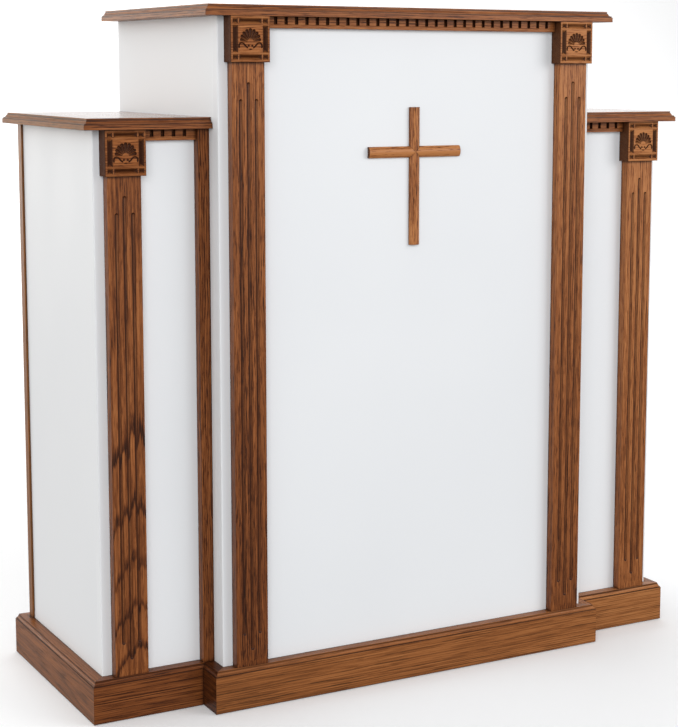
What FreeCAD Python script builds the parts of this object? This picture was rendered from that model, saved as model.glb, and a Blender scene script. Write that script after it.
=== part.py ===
import FreeCAD, Part
import math
import os
from types import SimpleNamespace

import Sketcher
from FreeCAD import Placement, Rotation, Vector

# A winged lectern stand in white panels and stained oak. It stands on z = 0 with its front
# towards -Y and its open back towards +Y. The origin is the middle of its bounding box's foot.

os.makedirs("parts", exist_ok=True)
doc = FreeCAD.newDocument("Lectern")

# ---------------------------------------------------------------- driving dimensions, mm

DIMENSIONS = [
    # overall
    ("overall_height", 1168.4, "floor to the upper face of the centre top"),
    ("centre_width", 727.0, "centre cabinet, outside to outside"),
    ("cabinet_width", 1114.4, "both wings and the centre, outside to outside"),
    ("centre_depth", 443.0, "centre front face to its rear edge"),
    ("wing_height", 988.5, "floor to the upper face of the wing tops"),
    ("wing_setback", 53.3, "centre front face back to the wing front face"),
    ("wing_rear", 424.3, "centre front face back to the wing's rear edge"),
    ("panel", 18.0, "thickness of the white panels"),
    ("panel_foot", 4.0, "height of the panels' lower edges above the floor"),
    ("corner_radius", 2.0, "easing of the outer upright corners"),
    # tops
    ("top_thickness", 18.3, "oak top boards"),
    ("top_front_overhang", 27.9, "centre top beyond the front face"),
    ("top_side_overhang", 31.7, "centre top beyond the side faces"),
    ("wing_front_overhang", 32.5, "wing top beyond the wing front face"),
    ("wing_side_overhang", 24.4, "wing top beyond the wing side face"),
    ("rim_width", 75.0, "boards round the centre desk"),
    ("edge_width", 50.0, "mitred boards round each wing top"),
    ("nose_band", 8.0, "plain lower band of the top moulding"),
    ("quirk", 1.4, "small step above that band"),
    ("cove_foot", 10.2, "height where the cove starts"),
    ("cove_radius", 4.6, "cove of the top moulding"),
    ("top_inset", 7.3, "upper arris behind the nose"),
    # base
    ("base_projection", 23.5, "base moulding beyond the cabinet faces"),
    ("base_clearance", 1.5, "base moulding above the floor"),
    ("base_face", 64.2, "floor to the top of the base's plain face"),
    ("ledge_height", 73.1, "floor to the flat ledge that the trims stand on"),
    ("base_quirk", 1.2, "small step above the base's plain face"),
    ("base_cove_radius", 4.4, "cove of the base moulding"),
    ("base_cove_foot", 66.2, "floor to the foot of that cove"),
    ("base_cove_top", 70.8, "floor to the top of that cove"),
    ("base_cove_inset", 3.9, "top of that cove behind the base face"),
    ("ledge_inset", 5.1, "ledge's arris behind the base face"),
    # carved corner blocks
    ("block_width", 69.0, "corner block across"),
    ("block_height", 73.5, "corner block up and down"),
    ("block_depth", 27.3, "corner block front to back"),
    ("block_inset", 11.5, "block in from the cabinet's corner"),
    ("groove_width", 9.0, "frame grooves of the block"),
    ("groove_depth", 4.3, "depth of those grooves"),
    ("groove_margin", 3.6, "plain rim outside the grooves"),
    ("groove_gap", 2.2, "ridge between a groove and a corner pit"),
    # shell and scroll in the middle of the blocks
    ("shell_hub", 31.0, "shell's hub above the block's foot"),
    ("shell_reach", 22.8, "hub to the outer end of the middle rib"),
    ("shell_droop", 0.9, "how much shorter each rib is than the one above it"),
    ("rib_start", 8.0, "hub to the inner ends of the ribs"),
    ("rib_turn", 18.5, "angle between two ribs, degrees"),
    ("rib_width", 4.8, "rib across"),
    ("rib_depth", 2.4, "rib below the face"),
    ("scroll_line", 1.2, "round cutter of the scroll's lines"),
    ("crook_radius", 4.5, "bend of the scroll's crooks"),
    ("crook_across", 15.4, "crook's centre to the block's middle"),
    ("crook_drop", 5.0, "crook's centre below the hub"),
    ("tail_radius", 6.8, "bend of the scroll's tails"),
    ("tail_across", 5.2, "tail's centre to the block's middle"),
    ("tail_drop", 1.2, "tail's centre below the hub"),
    ("eye_radius", 1.9, "the scroll's two eyes"),
    ("eye_across", 3.2, "eye to the block's middle"),
    ("eye_drop", 5.2, "eye below the hub"),
    ("drop_width", 6.8, "the scroll's lowest mark across"),
    ("drop_height", 2.4, "that mark up and down"),
    ("drop_down", 10.6, "that mark below the hub"),
    # pilasters
    ("pilaster_width", 57.4, "fluted pilaster across"),
    ("pilaster_depth", 18.4, "fluted pilaster front to back"),
    ("flute_radius", 3.3, "round cutter of the flutes"),
    ("flute_standoff", 0.8, "cutter's axis in front of the pilaster's face"),
    ("flute_pitch", 14.0, "middle flute to side flute"),
    ("flute_foot", 27.0, "middle flute above the pilaster's foot"),
    ("flute_head", 32.0, "middle flute below the pilaster's head"),
    ("flute_step", 27.0, "how much shorter the side flutes are at each end"),
    # dentil moulding
    ("dentil_height", 18.7, "dentil moulding up and down"),
    ("dentil_depth", 10.0, "dentil moulding front to back"),
    ("slot_width", 6.0, "gap between two teeth"),
    ("slot_height", 12.5, "gap, down from the moulding's upper edge"),
    ("slot_depth", 6.0, "how deep the gaps are cut"),
    ("slot_pitch", 18.9, "one gap to the next"),
    ("wing_slot_start", 16.4, "wing: block's edge to the first gap's middle"),
    ("groove_line", 1.0, "fine line along the moulding's lower band"),
    ("groove_line_up", 4.6, "that line above the lower edge"),
    # plain strips on the wings
    ("strip_width", 20.0, "strip beside the centre cabinet"),
    ("strip_depth", 17.7, "strip beside the centre cabinet, front to back"),
    ("stile_width", 22.0, "strip on the wing's rear edge, across"),
    ("stile_depth", 18.7, "strip on the wing's rear edge, front to back"),
    ("stile_proud", 4.0, "how far it stands out past the side panel"),
    # cross
    ("cross_width", 19.0, "width of the cross's bars"),
    ("cross_edge", 4.4, "thickness of the bars at their edges"),
    ("cross_crown", 8.6, "thickness of the bars at their middle"),
    ("cross_lap", 4.0, "part of the upright behind the arms"),
    ("cross_web", 1.0, "upright left between the arms' points"),
    ("cross_top", 1002.0, "floor to the cross's head"),
    ("cross_foot", 766.6, "floor to the cross's foot"),
    ("cross_level", 926.2, "floor to the middle of the arms"),
    ("cross_span", 179.4, "arm's end to arm's end"),
    # inside
    ("floor_level", 64.0, "underside of the cabinet floors"),
    ("centre_shelf_level", 620.0, "underside of the centre shelf"),
    ("wing_shelf_level", 500.0, "underside of the wing shelves"),
    ("shelf_gap", 2.0, "shelf to the panels beside it"),
    ("shelf_front_gap", 3.0, "shelf to the panel in front of it"),
    ("shelf_setback", 23.0, "shelf's edge in from the open back"),
    ("desk_slope", 12.0, "reading desk's slope, degrees"),
    ("desk_depth", 400.0, "reading desk along its slope"),
    ("desk_drop", 1.0, "desk's upper arris below the top boards"),
    ("stop_height", 40.0, "book stop, across the desk's thickness"),
    ("cleat", 18.0, "square cleats under the desk"),
    ("cleat_length", 340.0, "cleats along the slope"),
    ("cleat_start", 10.0, "cleats behind the desk's front edge"),
    # hardware
    ("pin_radius", 2.5, "shelf pins and their holes"),
    ("pin_buried", 8.0, "shelf pin inside the panel"),
    ("pin_proud", 8.0, "shelf pin under the shelf"),
    ("pin_collar", 3.6, "radius of the shelf pin's collar"),
    ("pin_collar_thick", 1.2, "thickness of that collar"),
    ("pin_slack", 0.1, "shelf above its pins"),
    ("pin_hole_pitch", 32.0, "one shelf height to the next"),
    ("pin_near", 60.0, "front pin behind the front panel's inner face"),
    ("pin_far", 290.0, "rear pin behind the same face"),
    ("pin_offset", 24.0, "wing pins in front of the centre pins"),
    ("screw_length", 50.0, "joining screws, overall"),
    ("screw_head_radius", 5.0, "joining screws' heads"),
    ("screw_head_thick", 3.0, "joining screws' heads"),
    ("screw_radius", 2.5, "joining screws' shanks"),
    ("socket_radius", 2.3, "hexagon socket, over its corners"),
    ("socket_depth", 2.0, "hexagon socket"),
    ("glide_radius", 8.0, "floor glides"),
    ("nail_radius", 1.2, "nails of the floor glides"),
    ("nail_length", 14.0, "nails of the floor glides, in the panel"),
    ("glide_near", 50.0, "front glide behind the panel's front edge"),
    ("glide_far", 300.0, "rear glide behind the same edge"),
]
PIN_HOLES_EACH_WAY = 2
CENTRE_SLOTS = 29
SHELL_SIDE_RIBS = 4  # ribs on each side of the shell's upright one
CROOK_ANGLES = (46, 210)  # degrees, where the bends of the scroll's left half start and end
TAIL_ANGLES = (192, 267)
HALF_TURN = 180
WING_SLOTS = 4
SCREW_HEIGHTS = (0.25, 0.55, 0.85)  # up the wing's front panel, as shares of its height
SCREW_DEPTHS = (0.25, 0.75)  # along a floor or top panel, as shares of its depth
LEFT, RIGHT = -1, 1
SIDES = ((LEFT, "left"), (RIGHT, "right"))
SMALLEST_CUT = 1.0  # mm3; a feature that removes less has missed its solid


class Size:
    """A length together with the spreadsheet formula that gives it."""

    def __init__(self, value, formula):
        self.value = float(value)
        self.formula = formula

    def __add__(self, other):
        other = as_size(other)
        return Size(self.value + other.value, f"({self.formula} + {other.formula})")

    def __sub__(self, other):
        other = as_size(other)
        return Size(self.value - other.value, f"({self.formula} - {other.formula})")

    def __mul__(self, other):
        other = as_size(other)
        return Size(self.value * other.value, f"({self.formula} * {other.formula})")

    def __truediv__(self, other):
        other = as_size(other)
        return Size(self.value / other.value, f"({self.formula} / {other.formula})")

    def __rsub__(self, other):
        return as_size(other) - self

    def __neg__(self):
        return Size(-self.value, f"(-{self.formula})")

    __radd__ = __add__
    __rmul__ = __mul__


def as_size(number):
    """Any plain number as a Size."""
    return number if isinstance(number, Size) else Size(number, f"({number})")


def sine(angle):
    """The sine of an angle in degrees."""
    return Size(math.sin(math.radians(angle.value)), f"sin({angle.formula})")


def cosine(angle):
    """The cosine of an angle in degrees."""
    return Size(math.cos(math.radians(angle.value)), f"cos({angle.formula})")


def make_sheet():
    """Writes the driving dimensions to the spreadsheet and returns them by name."""
    sheet = doc.addObject("Spreadsheet::Sheet", "dims")
    sizes = {}
    for row, (alias, value, note) in enumerate(DIMENSIONS, start=1):
        sheet.set(f"A{row}", note)
        sheet.set(f"B{row}", str(value))
        sheet.setAlias(f"B{row}", alias)
        sizes[alias] = Size(value, f"dims.{alias}")
    doc.recompute()
    return SimpleNamespace(**sizes)


d = make_sheet()

# ---------------------------------------------------------------- places worked out from them

FRONT = (d.top_front_overhang - d.wing_rear - d.base_projection) / 2
WING_FRONT = FRONT + d.wing_setback
CENTRE_REAR = FRONT + d.centre_depth
WING_REAR = FRONT + d.wing_rear
CENTRE_HALF = d.centre_width / 2
CENTRE_INNER = CENTRE_HALF - d.panel
WING_OUTER = d.cabinet_width / 2
WING_INNER = WING_OUTER - d.panel
CENTRE_TOP = d.overall_height - d.top_thickness
WING_TOP = d.wing_height - d.top_thickness
FLOOR_TOP = d.floor_level + d.panel
DESK_Y = FRONT + d.panel + 1
DESK_Z = CENTRE_TOP - d.desk_drop - d.panel * cosine(d.desk_slope)

parts = {}


def keep(label, thing):
    """Gives a finished sub-part its name and puts it on the list to export."""
    thing.Label = label
    parts[label] = thing
    return thing


def bind(thing, **sizes):
    """Ties properties to the spreadsheet. A double underscore stands for a dot."""
    for name, size in sizes.items():
        thing.setExpression(name.replace("__", "."), as_size(size).formula)


def place(thing, x, y, z, rotation=None):
    """Turns a thing, then ties its place to the spreadsheet."""
    if rotation is not None:
        thing.Placement = Placement(Vector(), rotation)
    bind(thing, Placement__Base__x=x, Placement__Base__y=y, Placement__Base__z=z)
    return thing


def span(side, inner, outer):
    """Where a thing from inner to outer starts in X on the given side, and how wide it is."""
    return (inner if side == RIGHT else -outer), outer - inner


def box(name, x, y, z, across, deep, tall):
    """A rectangular board from its lowest corner."""
    board = doc.addObject("Part::Box", name)
    bind(board, Length=across, Width=deep, Height=tall)
    return place(board, x, y, z)


def joined(name, tools):
    """Several cutting tools as one."""
    tool = doc.addObject("Part::Compound", name)
    tool.Links = tools
    return tool


def cut(base, tools):
    """A board less its cutting tools, with a test that something was removed."""
    result = doc.addObject("Part::Cut", base.Name + "_cut")
    result.Base = base
    result.Tool = joined(base.Name + "_tools", tools)
    doc.recompute()
    require_less(result.Shape, base.Shape, base.Name)
    return result


def require_less(after, before, name):
    """Stops the build when a cut has missed its solid."""
    if before.Volume - after.Volume < SMALLEST_CUT:
        raise RuntimeError(f"{name}: the cut removed nothing")


def bore(name, radius, length, x, y, z, direction):
    """A round tool from a point, along one of the axes."""
    tool = doc.addObject("Part::Cylinder", name)
    bind(tool, Radius=radius, Height=length)
    return place(tool, x, y, z, Rotation(Vector(0, 0, 1), Vector(*direction)))


# ---------------------------------------------------------------- sketching


def origin_plane(body, role):
    """One of a body's own origin planes."""
    return next(f for f in body.Origin.OriginFeatures if f.Role == role)


def arc_through(start, end, radius, side):
    """The middle point of an arc that bows to one side of its chord."""
    chord = end - start
    half = chord.Length / 2
    sagitta = radius - math.sqrt(radius * radius - half * half)
    normal = Vector(-chord.y, chord.x, 0).normalize()
    return (start + end) / 2 + normal * (side * sagitta)


def outline(body, name, role, corners, arcs=None, offset=None):
    """A closed outline on an origin plane. Every corner is tied to the spreadsheet.

    corners holds (across, up) pairs. arcs maps a corner's number to (radius, side) where the
    stretch that follows it is an arc, and side is 1 when the arc bows to the left.
    """
    arcs = arcs or {}
    sketch = body.newObject("Sketcher::SketchObject", name)
    sketch.AttachmentSupport = [(origin_plane(body, role), "")]
    sketch.MapMode = "FlatFace"
    if offset is not None:
        bind(sketch, AttachmentOffset__Base__z=offset)
    corners = [(as_size(across), as_size(up)) for across, up in corners]
    points = [Vector(across.value, up.value, 0) for across, up in corners]
    starts, ends = [], []
    for i, point in enumerate(points):
        following = points[(i + 1) % len(points)]
        if i in arcs:
            radius, side = arcs[i]
            middle = arc_through(point, following, radius.value, side)
            curve = Part.Arc(point, middle, following)
        else:
            curve = Part.LineSegment(point, following)
        number = sketch.addGeometry(curve, False)
        first = 1 if (sketch.getPoint(number, 1) - point).Length < 1e-6 else 2
        starts.append((number, first))
        ends.append((number, 3 - first))
    for i in range(len(points)):
        start = starts[(i + 1) % len(points)]
        sketch.addConstraint(Sketcher.Constraint("Coincident", *ends[i], *start))
    for i, (across, up) in enumerate(corners):
        tie(sketch, f"x{i}", across, "DistanceX", -1, 1, *starts[i])
        tie(sketch, f"y{i}", up, "DistanceY", -1, 1, *starts[i])
    for i, (radius, side) in arcs.items():
        tie(sketch, f"r{i}", radius, "Radius", starts[i][0])
    return sketch


def tie(sketch, name, size, kind, *where):
    """One dimension of a sketch, tied to the spreadsheet."""
    number = sketch.addConstraint(Sketcher.Constraint(kind, *where, size.value))
    sketch.renameConstraint(number, name)
    sketch.setExpression(f"Constraints.{name}", size.formula)


def new_body(name):
    """An empty body for one piece."""
    return doc.addObject("PartDesign::Body", name)


def pad(body, sketch, length, symmetric=False):
    """Raises a sketch into a solid."""
    feature = body.newObject("PartDesign::Pad", sketch.Name + "_pad")
    feature.Profile = sketch
    feature.SideType = "Symmetric" if symmetric else "One side"
    bind(feature, Length=length)
    return feature


def pocket(body, sketch, length, reverse=False, symmetric=False):
    """Cuts a sketch into the solid, with a test that it met the solid."""
    doc.recompute()
    before = body.Shape.copy()
    feature = body.newObject("PartDesign::Pocket", sketch.Name + "_pocket")
    feature.Profile = sketch
    feature.Type = "Length"
    feature.SideType = "Symmetric" if symmetric else "One side"
    feature.Reversed = reverse
    bind(feature, Length=length)
    doc.recompute()
    require_less(feature.Shape, before, sketch.Name)
    return feature


def block_outline(x_from, y_from, x_to, y_to):
    """The four corners of a rectangle."""
    return [(x_from, y_from), (x_to, y_from), (x_to, y_to), (x_from, y_to)]


# ---------------------------------------------------------------- white panels


def eased_panel(name, x, y, width, height, corners):
    """A front panel that stands on its lower edge, with its outer upright corners eased.

    corners holds the local X of each upright edge to round.
    """
    body = new_body(name)
    sketch = outline(body, name + "_plan", "XY_Plane", block_outline(0, 0, width, d.panel))
    slab = pad(body, sketch, height)
    doc.recompute()
    edges = []
    for number, edge in enumerate(slab.Shape.Edges, start=1):
        middle = edge.BoundBox.Center
        upright = edge.BoundBox.ZLength > height.value / 2
        if upright and middle.y < 1 and any(abs(middle.x - c.value) < 1 for c in corners):
            edges.append(f"Edge{number}")
    fillet = body.newObject("PartDesign::Fillet", name + "_easing")
    fillet.Base = (slab, edges)
    bind(fillet, Radius=d.corner_radius)
    return place(body, x, y, d.panel_foot)


def pin_rows(side_of_panel, face_x, front_y, level, name):
    """Rows of shelf-pin holes in one face: the used pair of heights and those around it."""
    tools = []
    for depth_name, depth in (("near", d.pin_near), ("far", d.pin_far)):
        for step in range(-PIN_HOLES_EACH_WAY, PIN_HOLES_EACH_WAY + 1):
            tools.append(
                bore(
                    f"{name}_{depth_name}_{step + PIN_HOLES_EACH_WAY}",
                    d.pin_radius,
                    d.pin_buried,
                    face_x,
                    front_y + depth,
                    level - d.pin_radius - d.pin_slack + d.pin_hole_pitch * step,
                    (side_of_panel, 0, 0),
                )
            )
    return tools


def screw_places(side):
    """Each joining screw of one side: its head's X, Y, Z and which way it points in X."""
    places = []
    for share in SCREW_HEIGHTS:
        middle = WING_FRONT + d.panel / 2
        places.append((CENTRE_INNER * side, middle, WING_TOP * share, side))
    for share in SCREW_DEPTHS:
        y = WING_FRONT + (WING_REAR - WING_FRONT) * share
        places.append((CENTRE_INNER * side, y, WING_TOP + d.top_thickness / 2, side))
        y = FRONT + d.panel + (d.centre_depth - d.panel) * share
        places.append((CENTRE_HALF * side, y, d.floor_level + d.panel / 2, -side))
    return places


def screw_bores(name, side, shank_only=False):
    """The holes that the joining screws of one side sit in."""
    tools = []
    for number, (x, y, z, way) in enumerate(screw_places(side)):
        tools.append(
            bore(f"{name}_shank_{number}", d.screw_radius, d.screw_length, x, y, z, (way, 0, 0))
        )
        if not shank_only:
            tools.append(
                bore(
                    f"{name}_head_{number}",
                    d.screw_head_radius,
                    d.screw_head_thick,
                    x,
                    y,
                    z,
                    (way, 0, 0),
                )
            )
    return tools


def glide_bores(name, x, front_y):
    """The nail holes in the lower edge of a side panel."""
    size, foot, upward = (d.nail_radius, d.nail_length), d.panel_foot, (0, 0, 1)
    return [
        bore(f"{name}_{number}", *size, x, front_y + reach, foot, upward)
        for number, reach in enumerate((d.glide_near, d.glide_far))
    ]


def make_centre_panels():
    """The centre cabinet's front, sides, floor and the rail that closes its toe space."""
    height = CENTRE_TOP - d.panel_foot
    front = eased_panel(
        "centre_front", -CENTRE_HALF, FRONT, d.centre_width, height, (Size(0, "0"), d.centre_width)
    )
    keep("centre_front_panel", front)
    depth = d.centre_depth - d.panel
    back_of_front = FRONT + d.panel
    for side, word in SIDES:
        x, width = span(side, CENTRE_INNER, CENTRE_HALF)
        board = box(f"centre_side_{word}", x, back_of_front, d.panel_foot, width, depth, height)
        middle = (CENTRE_INNER + CENTRE_HALF) / 2 * side
        wing_back = WING_FRONT + d.panel - d.pin_offset
        tools = pin_rows(side, CENTRE_INNER * side, back_of_front, d.centre_shelf_level, f"c_{word}")
        tools += pin_rows(-side, CENTRE_HALF * side, wing_back, d.wing_shelf_level, f"w_{word}")
        tools += screw_bores(f"side_{word}", side)
        tools += glide_bores(f"centre_nail_{word}", middle, back_of_front)
        keep(f"centre_side_panel_{word}", cut(board, tools))
    inside = CENTRE_INNER * 2
    floor = box("centre_floor", -CENTRE_INNER, back_of_front, d.floor_level, inside, depth, d.panel)
    shanks = screw_bores("floor_left", LEFT, True) + screw_bores("floor_right", RIGHT, True)
    keep("centre_floor_panel", cut(floor, shanks))
    toe = box(
        "toe_rail",
        -CENTRE_INNER,
        CENTRE_REAR - d.panel,
        d.panel_foot,
        inside,
        d.panel,
        d.floor_level - d.panel_foot,
    )
    keep("centre_toe_rail", toe)


def make_wing_panels(side, word):
    """A wing's front, outer side and floor. The centre cabinet's side is its inner wall."""
    height = WING_TOP - d.panel_foot
    x, width = span(side, CENTRE_HALF, WING_OUTER)
    outer_edge = width if side == RIGHT else Size(0, "0")
    front = eased_panel(f"{word}_front", x, WING_FRONT, width, height, (outer_edge,))
    doc.recompute()
    keep(f"{word}_wing_front_panel", cut(front, screw_bores(f"front_{word}", side, True)))
    back_of_front = WING_FRONT + d.panel
    depth = WING_REAR - d.stile_depth - back_of_front
    x, width = span(side, WING_INNER, WING_OUTER)
    board = box(f"{word}_side", x, back_of_front, d.panel_foot, width, depth, height)
    rows_from = back_of_front - d.pin_offset
    tools = pin_rows(side, WING_INNER * side, rows_from, d.wing_shelf_level, f"o_{word}")
    middle = (WING_INNER + WING_OUTER) / 2 * side
    tools += glide_bores(f"wing_nail_{word}", middle, back_of_front)
    keep(f"{word}_wing_side_panel", cut(board, tools))
    x, width = span(side, CENTRE_HALF, WING_INNER)
    depth = WING_REAR - back_of_front
    floor = box(f"{word}_floor", x, back_of_front, d.floor_level, width, depth, d.panel)
    keep(f"{word}_wing_floor_panel", floor)


# ---------------------------------------------------------------- oak mouldings

SQUARE, OUTER, INNER = "square", "outer", "inner"


def moulding(label, profile, arcs, width, nose_x, nose_y, z, turn, length, start, end):
    """A straight length of moulding whose nose lies along its own X axis.

    Its body lies on the +Y side of the nose. An outer mitre runs back from the nose towards
    the piece's middle, an inner mitre runs the other way, and a square end is left as it is.
    """
    body = new_body(label)
    before = width if start == INNER else Size(0, "0")
    after = width if end == INNER else Size(0, "0")
    section = outline(body, label + "_section", "YZ_Plane", profile, arcs, offset=-before)
    pad(body, section, length + before + after)
    beyond = 1
    waste = []
    if start == OUTER:
        waste.append([(-beyond, -beyond), (width + beyond, width + beyond), (-beyond, width + beyond)])
    if start == INNER:
        tip = -width - beyond
        waste.append([(beyond, -beyond), (tip, width + beyond), (tip, -beyond)])
    if end == OUTER:
        corner = length + beyond
        tip = length - width - beyond
        waste.append([(corner, -beyond), (corner, width + beyond), (tip, width + beyond)])
    if end == INNER:
        far = length + width + beyond
        waste.append([(length - beyond, -beyond), (far, -beyond), (far, width + beyond)])
    for number, corners in enumerate(waste):
        sketch = outline(body, f"{label}_mitre_{number}", "XY_Plane", corners)
        pocket(body, sketch, d.overall_height, symmetric=True)
    place(body, nose_x, nose_y, z, Rotation(Vector(0, 0, 1), turn))
    return keep(label, body)


def top_profile(width):
    """The nose of a top board: a plain band, a small step, a cove and a fillet."""
    corners = [
        (0, 0),
        (width, 0),
        (width, d.top_thickness),
        (d.top_inset, d.top_thickness),
        (d.top_inset, d.cove_foot + d.cove_radius),
        (d.quirk + d.cove_radius, d.cove_foot + d.cove_radius),
        (d.quirk, d.cove_foot),
        (d.quirk, d.nose_band),
        (0, d.nose_band),
    ]
    return corners, {5: (d.cove_radius, 1)}


def base_profile():
    """The base moulding: a tall plain face, a small step, a cove and a flat ledge."""
    foot = d.base_clearance
    corners = [
        (0, 0),
        (d.base_projection, 0),
        (d.base_projection, d.ledge_height - foot),
        (d.ledge_inset, d.ledge_height - foot),
        (d.ledge_inset, d.base_cove_top - foot),
        (d.base_cove_inset, d.base_cove_top - foot),
        (d.base_quirk, d.base_cove_foot - foot),
        (d.base_quirk, d.base_face - foot),
        (0, d.base_face - foot),
    ]
    return corners, {5: (d.base_cove_radius, 1)}


def make_centre_top():
    """Three mitred boards round the desk, open at the back."""
    profile, arcs = top_profile(d.rim_width)
    nose_x = CENTRE_HALF + d.top_side_overhang
    nose_y = FRONT - d.top_front_overhang
    length = CENTRE_REAR - nose_y
    common = (profile, arcs, d.rim_width)
    moulding("centre_top_front", *common, -nose_x, nose_y, CENTRE_TOP, 0, nose_x * 2, OUTER, OUTER)
    moulding("centre_top_left", *common, -nose_x, CENTRE_REAR, CENTRE_TOP, -90, length, SQUARE, OUTER)
    moulding("centre_top_right", *common, nose_x, nose_y, CENTRE_TOP, 90, length, OUTER, SQUARE)


def make_wing_top(side, word):
    """A panel with mitred boards on the three sides that show."""
    profile, arcs = top_profile(d.edge_width)
    nose_x = WING_OUTER + d.wing_side_overhang
    front_y = WING_FRONT - d.wing_front_overhang
    rear_y = WING_REAR + d.base_projection
    width = nose_x - CENTRE_HALF
    depth = rear_y - front_y
    common = (profile, arcs, d.edge_width)
    front, edge, rear = (f"{word}_wing_top_{name}" for name in ("front", "side", "rear"))
    if side == LEFT:
        moulding(front, *common, -nose_x, front_y, WING_TOP, 0, width, OUTER, SQUARE)
        moulding(edge, *common, -nose_x, rear_y, WING_TOP, -90, depth, OUTER, OUTER)
        moulding(rear, *common, -CENTRE_HALF, rear_y, WING_TOP, 180, width, SQUARE, OUTER)
    else:
        moulding(front, *common, CENTRE_HALF, front_y, WING_TOP, 0, width, SQUARE, OUTER)
        moulding(edge, *common, nose_x, front_y, WING_TOP, 90, depth, OUTER, OUTER)
        moulding(rear, *common, nose_x, rear_y, WING_TOP, 180, width, OUTER, SQUARE)
    x, width = span(side, CENTRE_HALF, nose_x - d.edge_width)
    infill = box(
        f"{word}_infill",
        x,
        front_y + d.edge_width,
        WING_TOP,
        width,
        depth - d.edge_width * 2,
        d.top_thickness,
    )
    keep(f"{word}_wing_top_panel", cut(infill, screw_bores(f"top_{word}", side, True)))


def make_centre_base():
    """The base across the centre's front, and the short returns back to the wings."""
    profile, arcs = base_profile()
    nose_x = CENTRE_HALF + d.base_projection
    nose_y = FRONT - d.base_projection
    wing_nose_y = WING_FRONT - d.base_projection
    reach = d.wing_setback
    common = (profile, arcs, d.base_projection)
    foot = d.base_clearance
    moulding("centre_base_front", *common, -nose_x, nose_y, foot, 0, nose_x * 2, OUTER, OUTER)
    moulding("centre_base_left", *common, -nose_x, wing_nose_y, foot, -90, reach, INNER, OUTER)
    moulding("centre_base_right", *common, nose_x, nose_y, foot, 90, reach, OUTER, INNER)


def make_wing_base(side, word):
    """The base round a wing's front, outer side and rear."""
    profile, arcs = base_profile()
    inner_x = CENTRE_HALF + d.base_projection
    nose_x = WING_OUTER + d.base_projection
    front_y = WING_FRONT - d.base_projection
    rear_y = WING_REAR + d.base_projection
    across = nose_x - inner_x
    rear_across = nose_x - CENTRE_HALF
    depth = rear_y - front_y
    common = (profile, arcs, d.base_projection)
    foot = d.base_clearance
    front, edge, rear = (f"{word}_wing_base_{name}" for name in ("front", "side", "rear"))
    if side == LEFT:
        moulding(front, *common, -nose_x, front_y, foot, 0, across, OUTER, INNER)
        moulding(edge, *common, -nose_x, rear_y, foot, -90, depth, OUTER, OUTER)
        moulding(rear, *common, -CENTRE_HALF, rear_y, foot, 180, rear_across, SQUARE, OUTER)
    else:
        moulding(front, *common, inner_x, front_y, foot, 0, across, INNER, OUTER)
        moulding(edge, *common, nose_x, front_y, foot, 90, depth, OUTER, OUTER)
        moulding(rear, *common, nose_x, rear_y, foot, 180, rear_across, OUTER, SQUARE)


# ---------------------------------------------------------------- oak trim on the fronts


def hipped_tool(name, x, z, across, tall):
    """A cutter that narrows to a ridge, or to a point if square, behind a block's face."""
    tool = doc.addObject("Part::Wedge", name)
    half = d.groove_width / 2
    bind(tool, Xmin=0, Xmax=across, Zmin=0, Zmax=tall, Ymin=-1, Ymax=d.groove_depth)
    bind(tool, X2min=half, X2max=across - half, Z2min=half, Z2max=tall - half)
    return place(tool, x, 0, z)


def hollow(name, across, deep, tall, x, z):
    """An ellipsoid sunk to its middle in a block's face."""
    tool = doc.addObject("Part::Ellipsoid", name)
    bind(tool, Radius1=tall / 2, Radius2=across / 2, Radius3=deep)
    return place(tool, x, 0, z)


def shell_rib(label, step):
    """One rib of the shell, step ribs to the right of the upright one."""
    turn = d.rib_turn * step
    reach = d.shell_reach - d.shell_droop * abs(step)
    along = (reach + d.rib_start) / 2
    x = d.block_width / 2 + sine(turn) * along
    z = d.shell_hub + cosine(turn) * along
    name = f"{label}_rib_{step + SHELL_SIDE_RIBS}"
    tool = hollow(name, d.rib_width, d.rib_depth, reach - d.rib_start, x, z)
    if step:
        side = RIGHT if step > 0 else LEFT
        tool.Placement = Placement(tool.Placement.Base, Rotation(Vector(0, side, 0), turn.value * side))
        bind(tool, Placement__Rotation__Angle=turn * side)
    return tool


def scroll_bend(name, radius, x, z, start, sweep):
    """A bent round cutter in a block's face, from a start angle anticlockwise from +X."""
    tool = doc.addObject("Part::Torus", name)
    bind(tool, Radius1=radius, Radius2=d.scroll_line, Angle3=sweep)
    upright = Rotation(Vector(1, 0, 0), 90)
    return place(tool, x, 0, z, upright.multiply(Rotation(Vector(0, 0, 1), start)))


def ornament(label):
    """The cutters of a block's shell and of the scroll below it."""
    middle, hub = d.block_width / 2, d.shell_hub
    tools = [shell_rib(label, step) for step in range(-SHELL_SIDE_RIBS, SHELL_SIDE_RIBS + 1)]
    bends = (
        ("crook", d.crook_radius, d.crook_across, d.crook_drop, CROOK_ANGLES),
        ("tail", d.tail_radius, d.tail_across, d.tail_drop, TAIL_ANGLES),
    )
    for side, word in SIDES:
        for bend, radius, across, drop, (start, end) in bends:
            first = start if side == LEFT else HALF_TURN - end
            x = middle + across * side
            name = f"{label}_{bend}_{word}"
            tools.append(scroll_bend(name, radius, x, hub - drop, first, end - start))
        wide = d.eye_radius * 2
        x = middle + d.eye_across * side
        tools.append(hollow(f"{label}_eye_{word}", wide, d.scroll_line, wide, x, hub - d.eye_drop))
    mark = (d.drop_width, d.scroll_line, d.drop_height, middle, hub - d.drop_down)
    tools.append(hollow(f"{label}_drop", *mark))
    return tools


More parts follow.
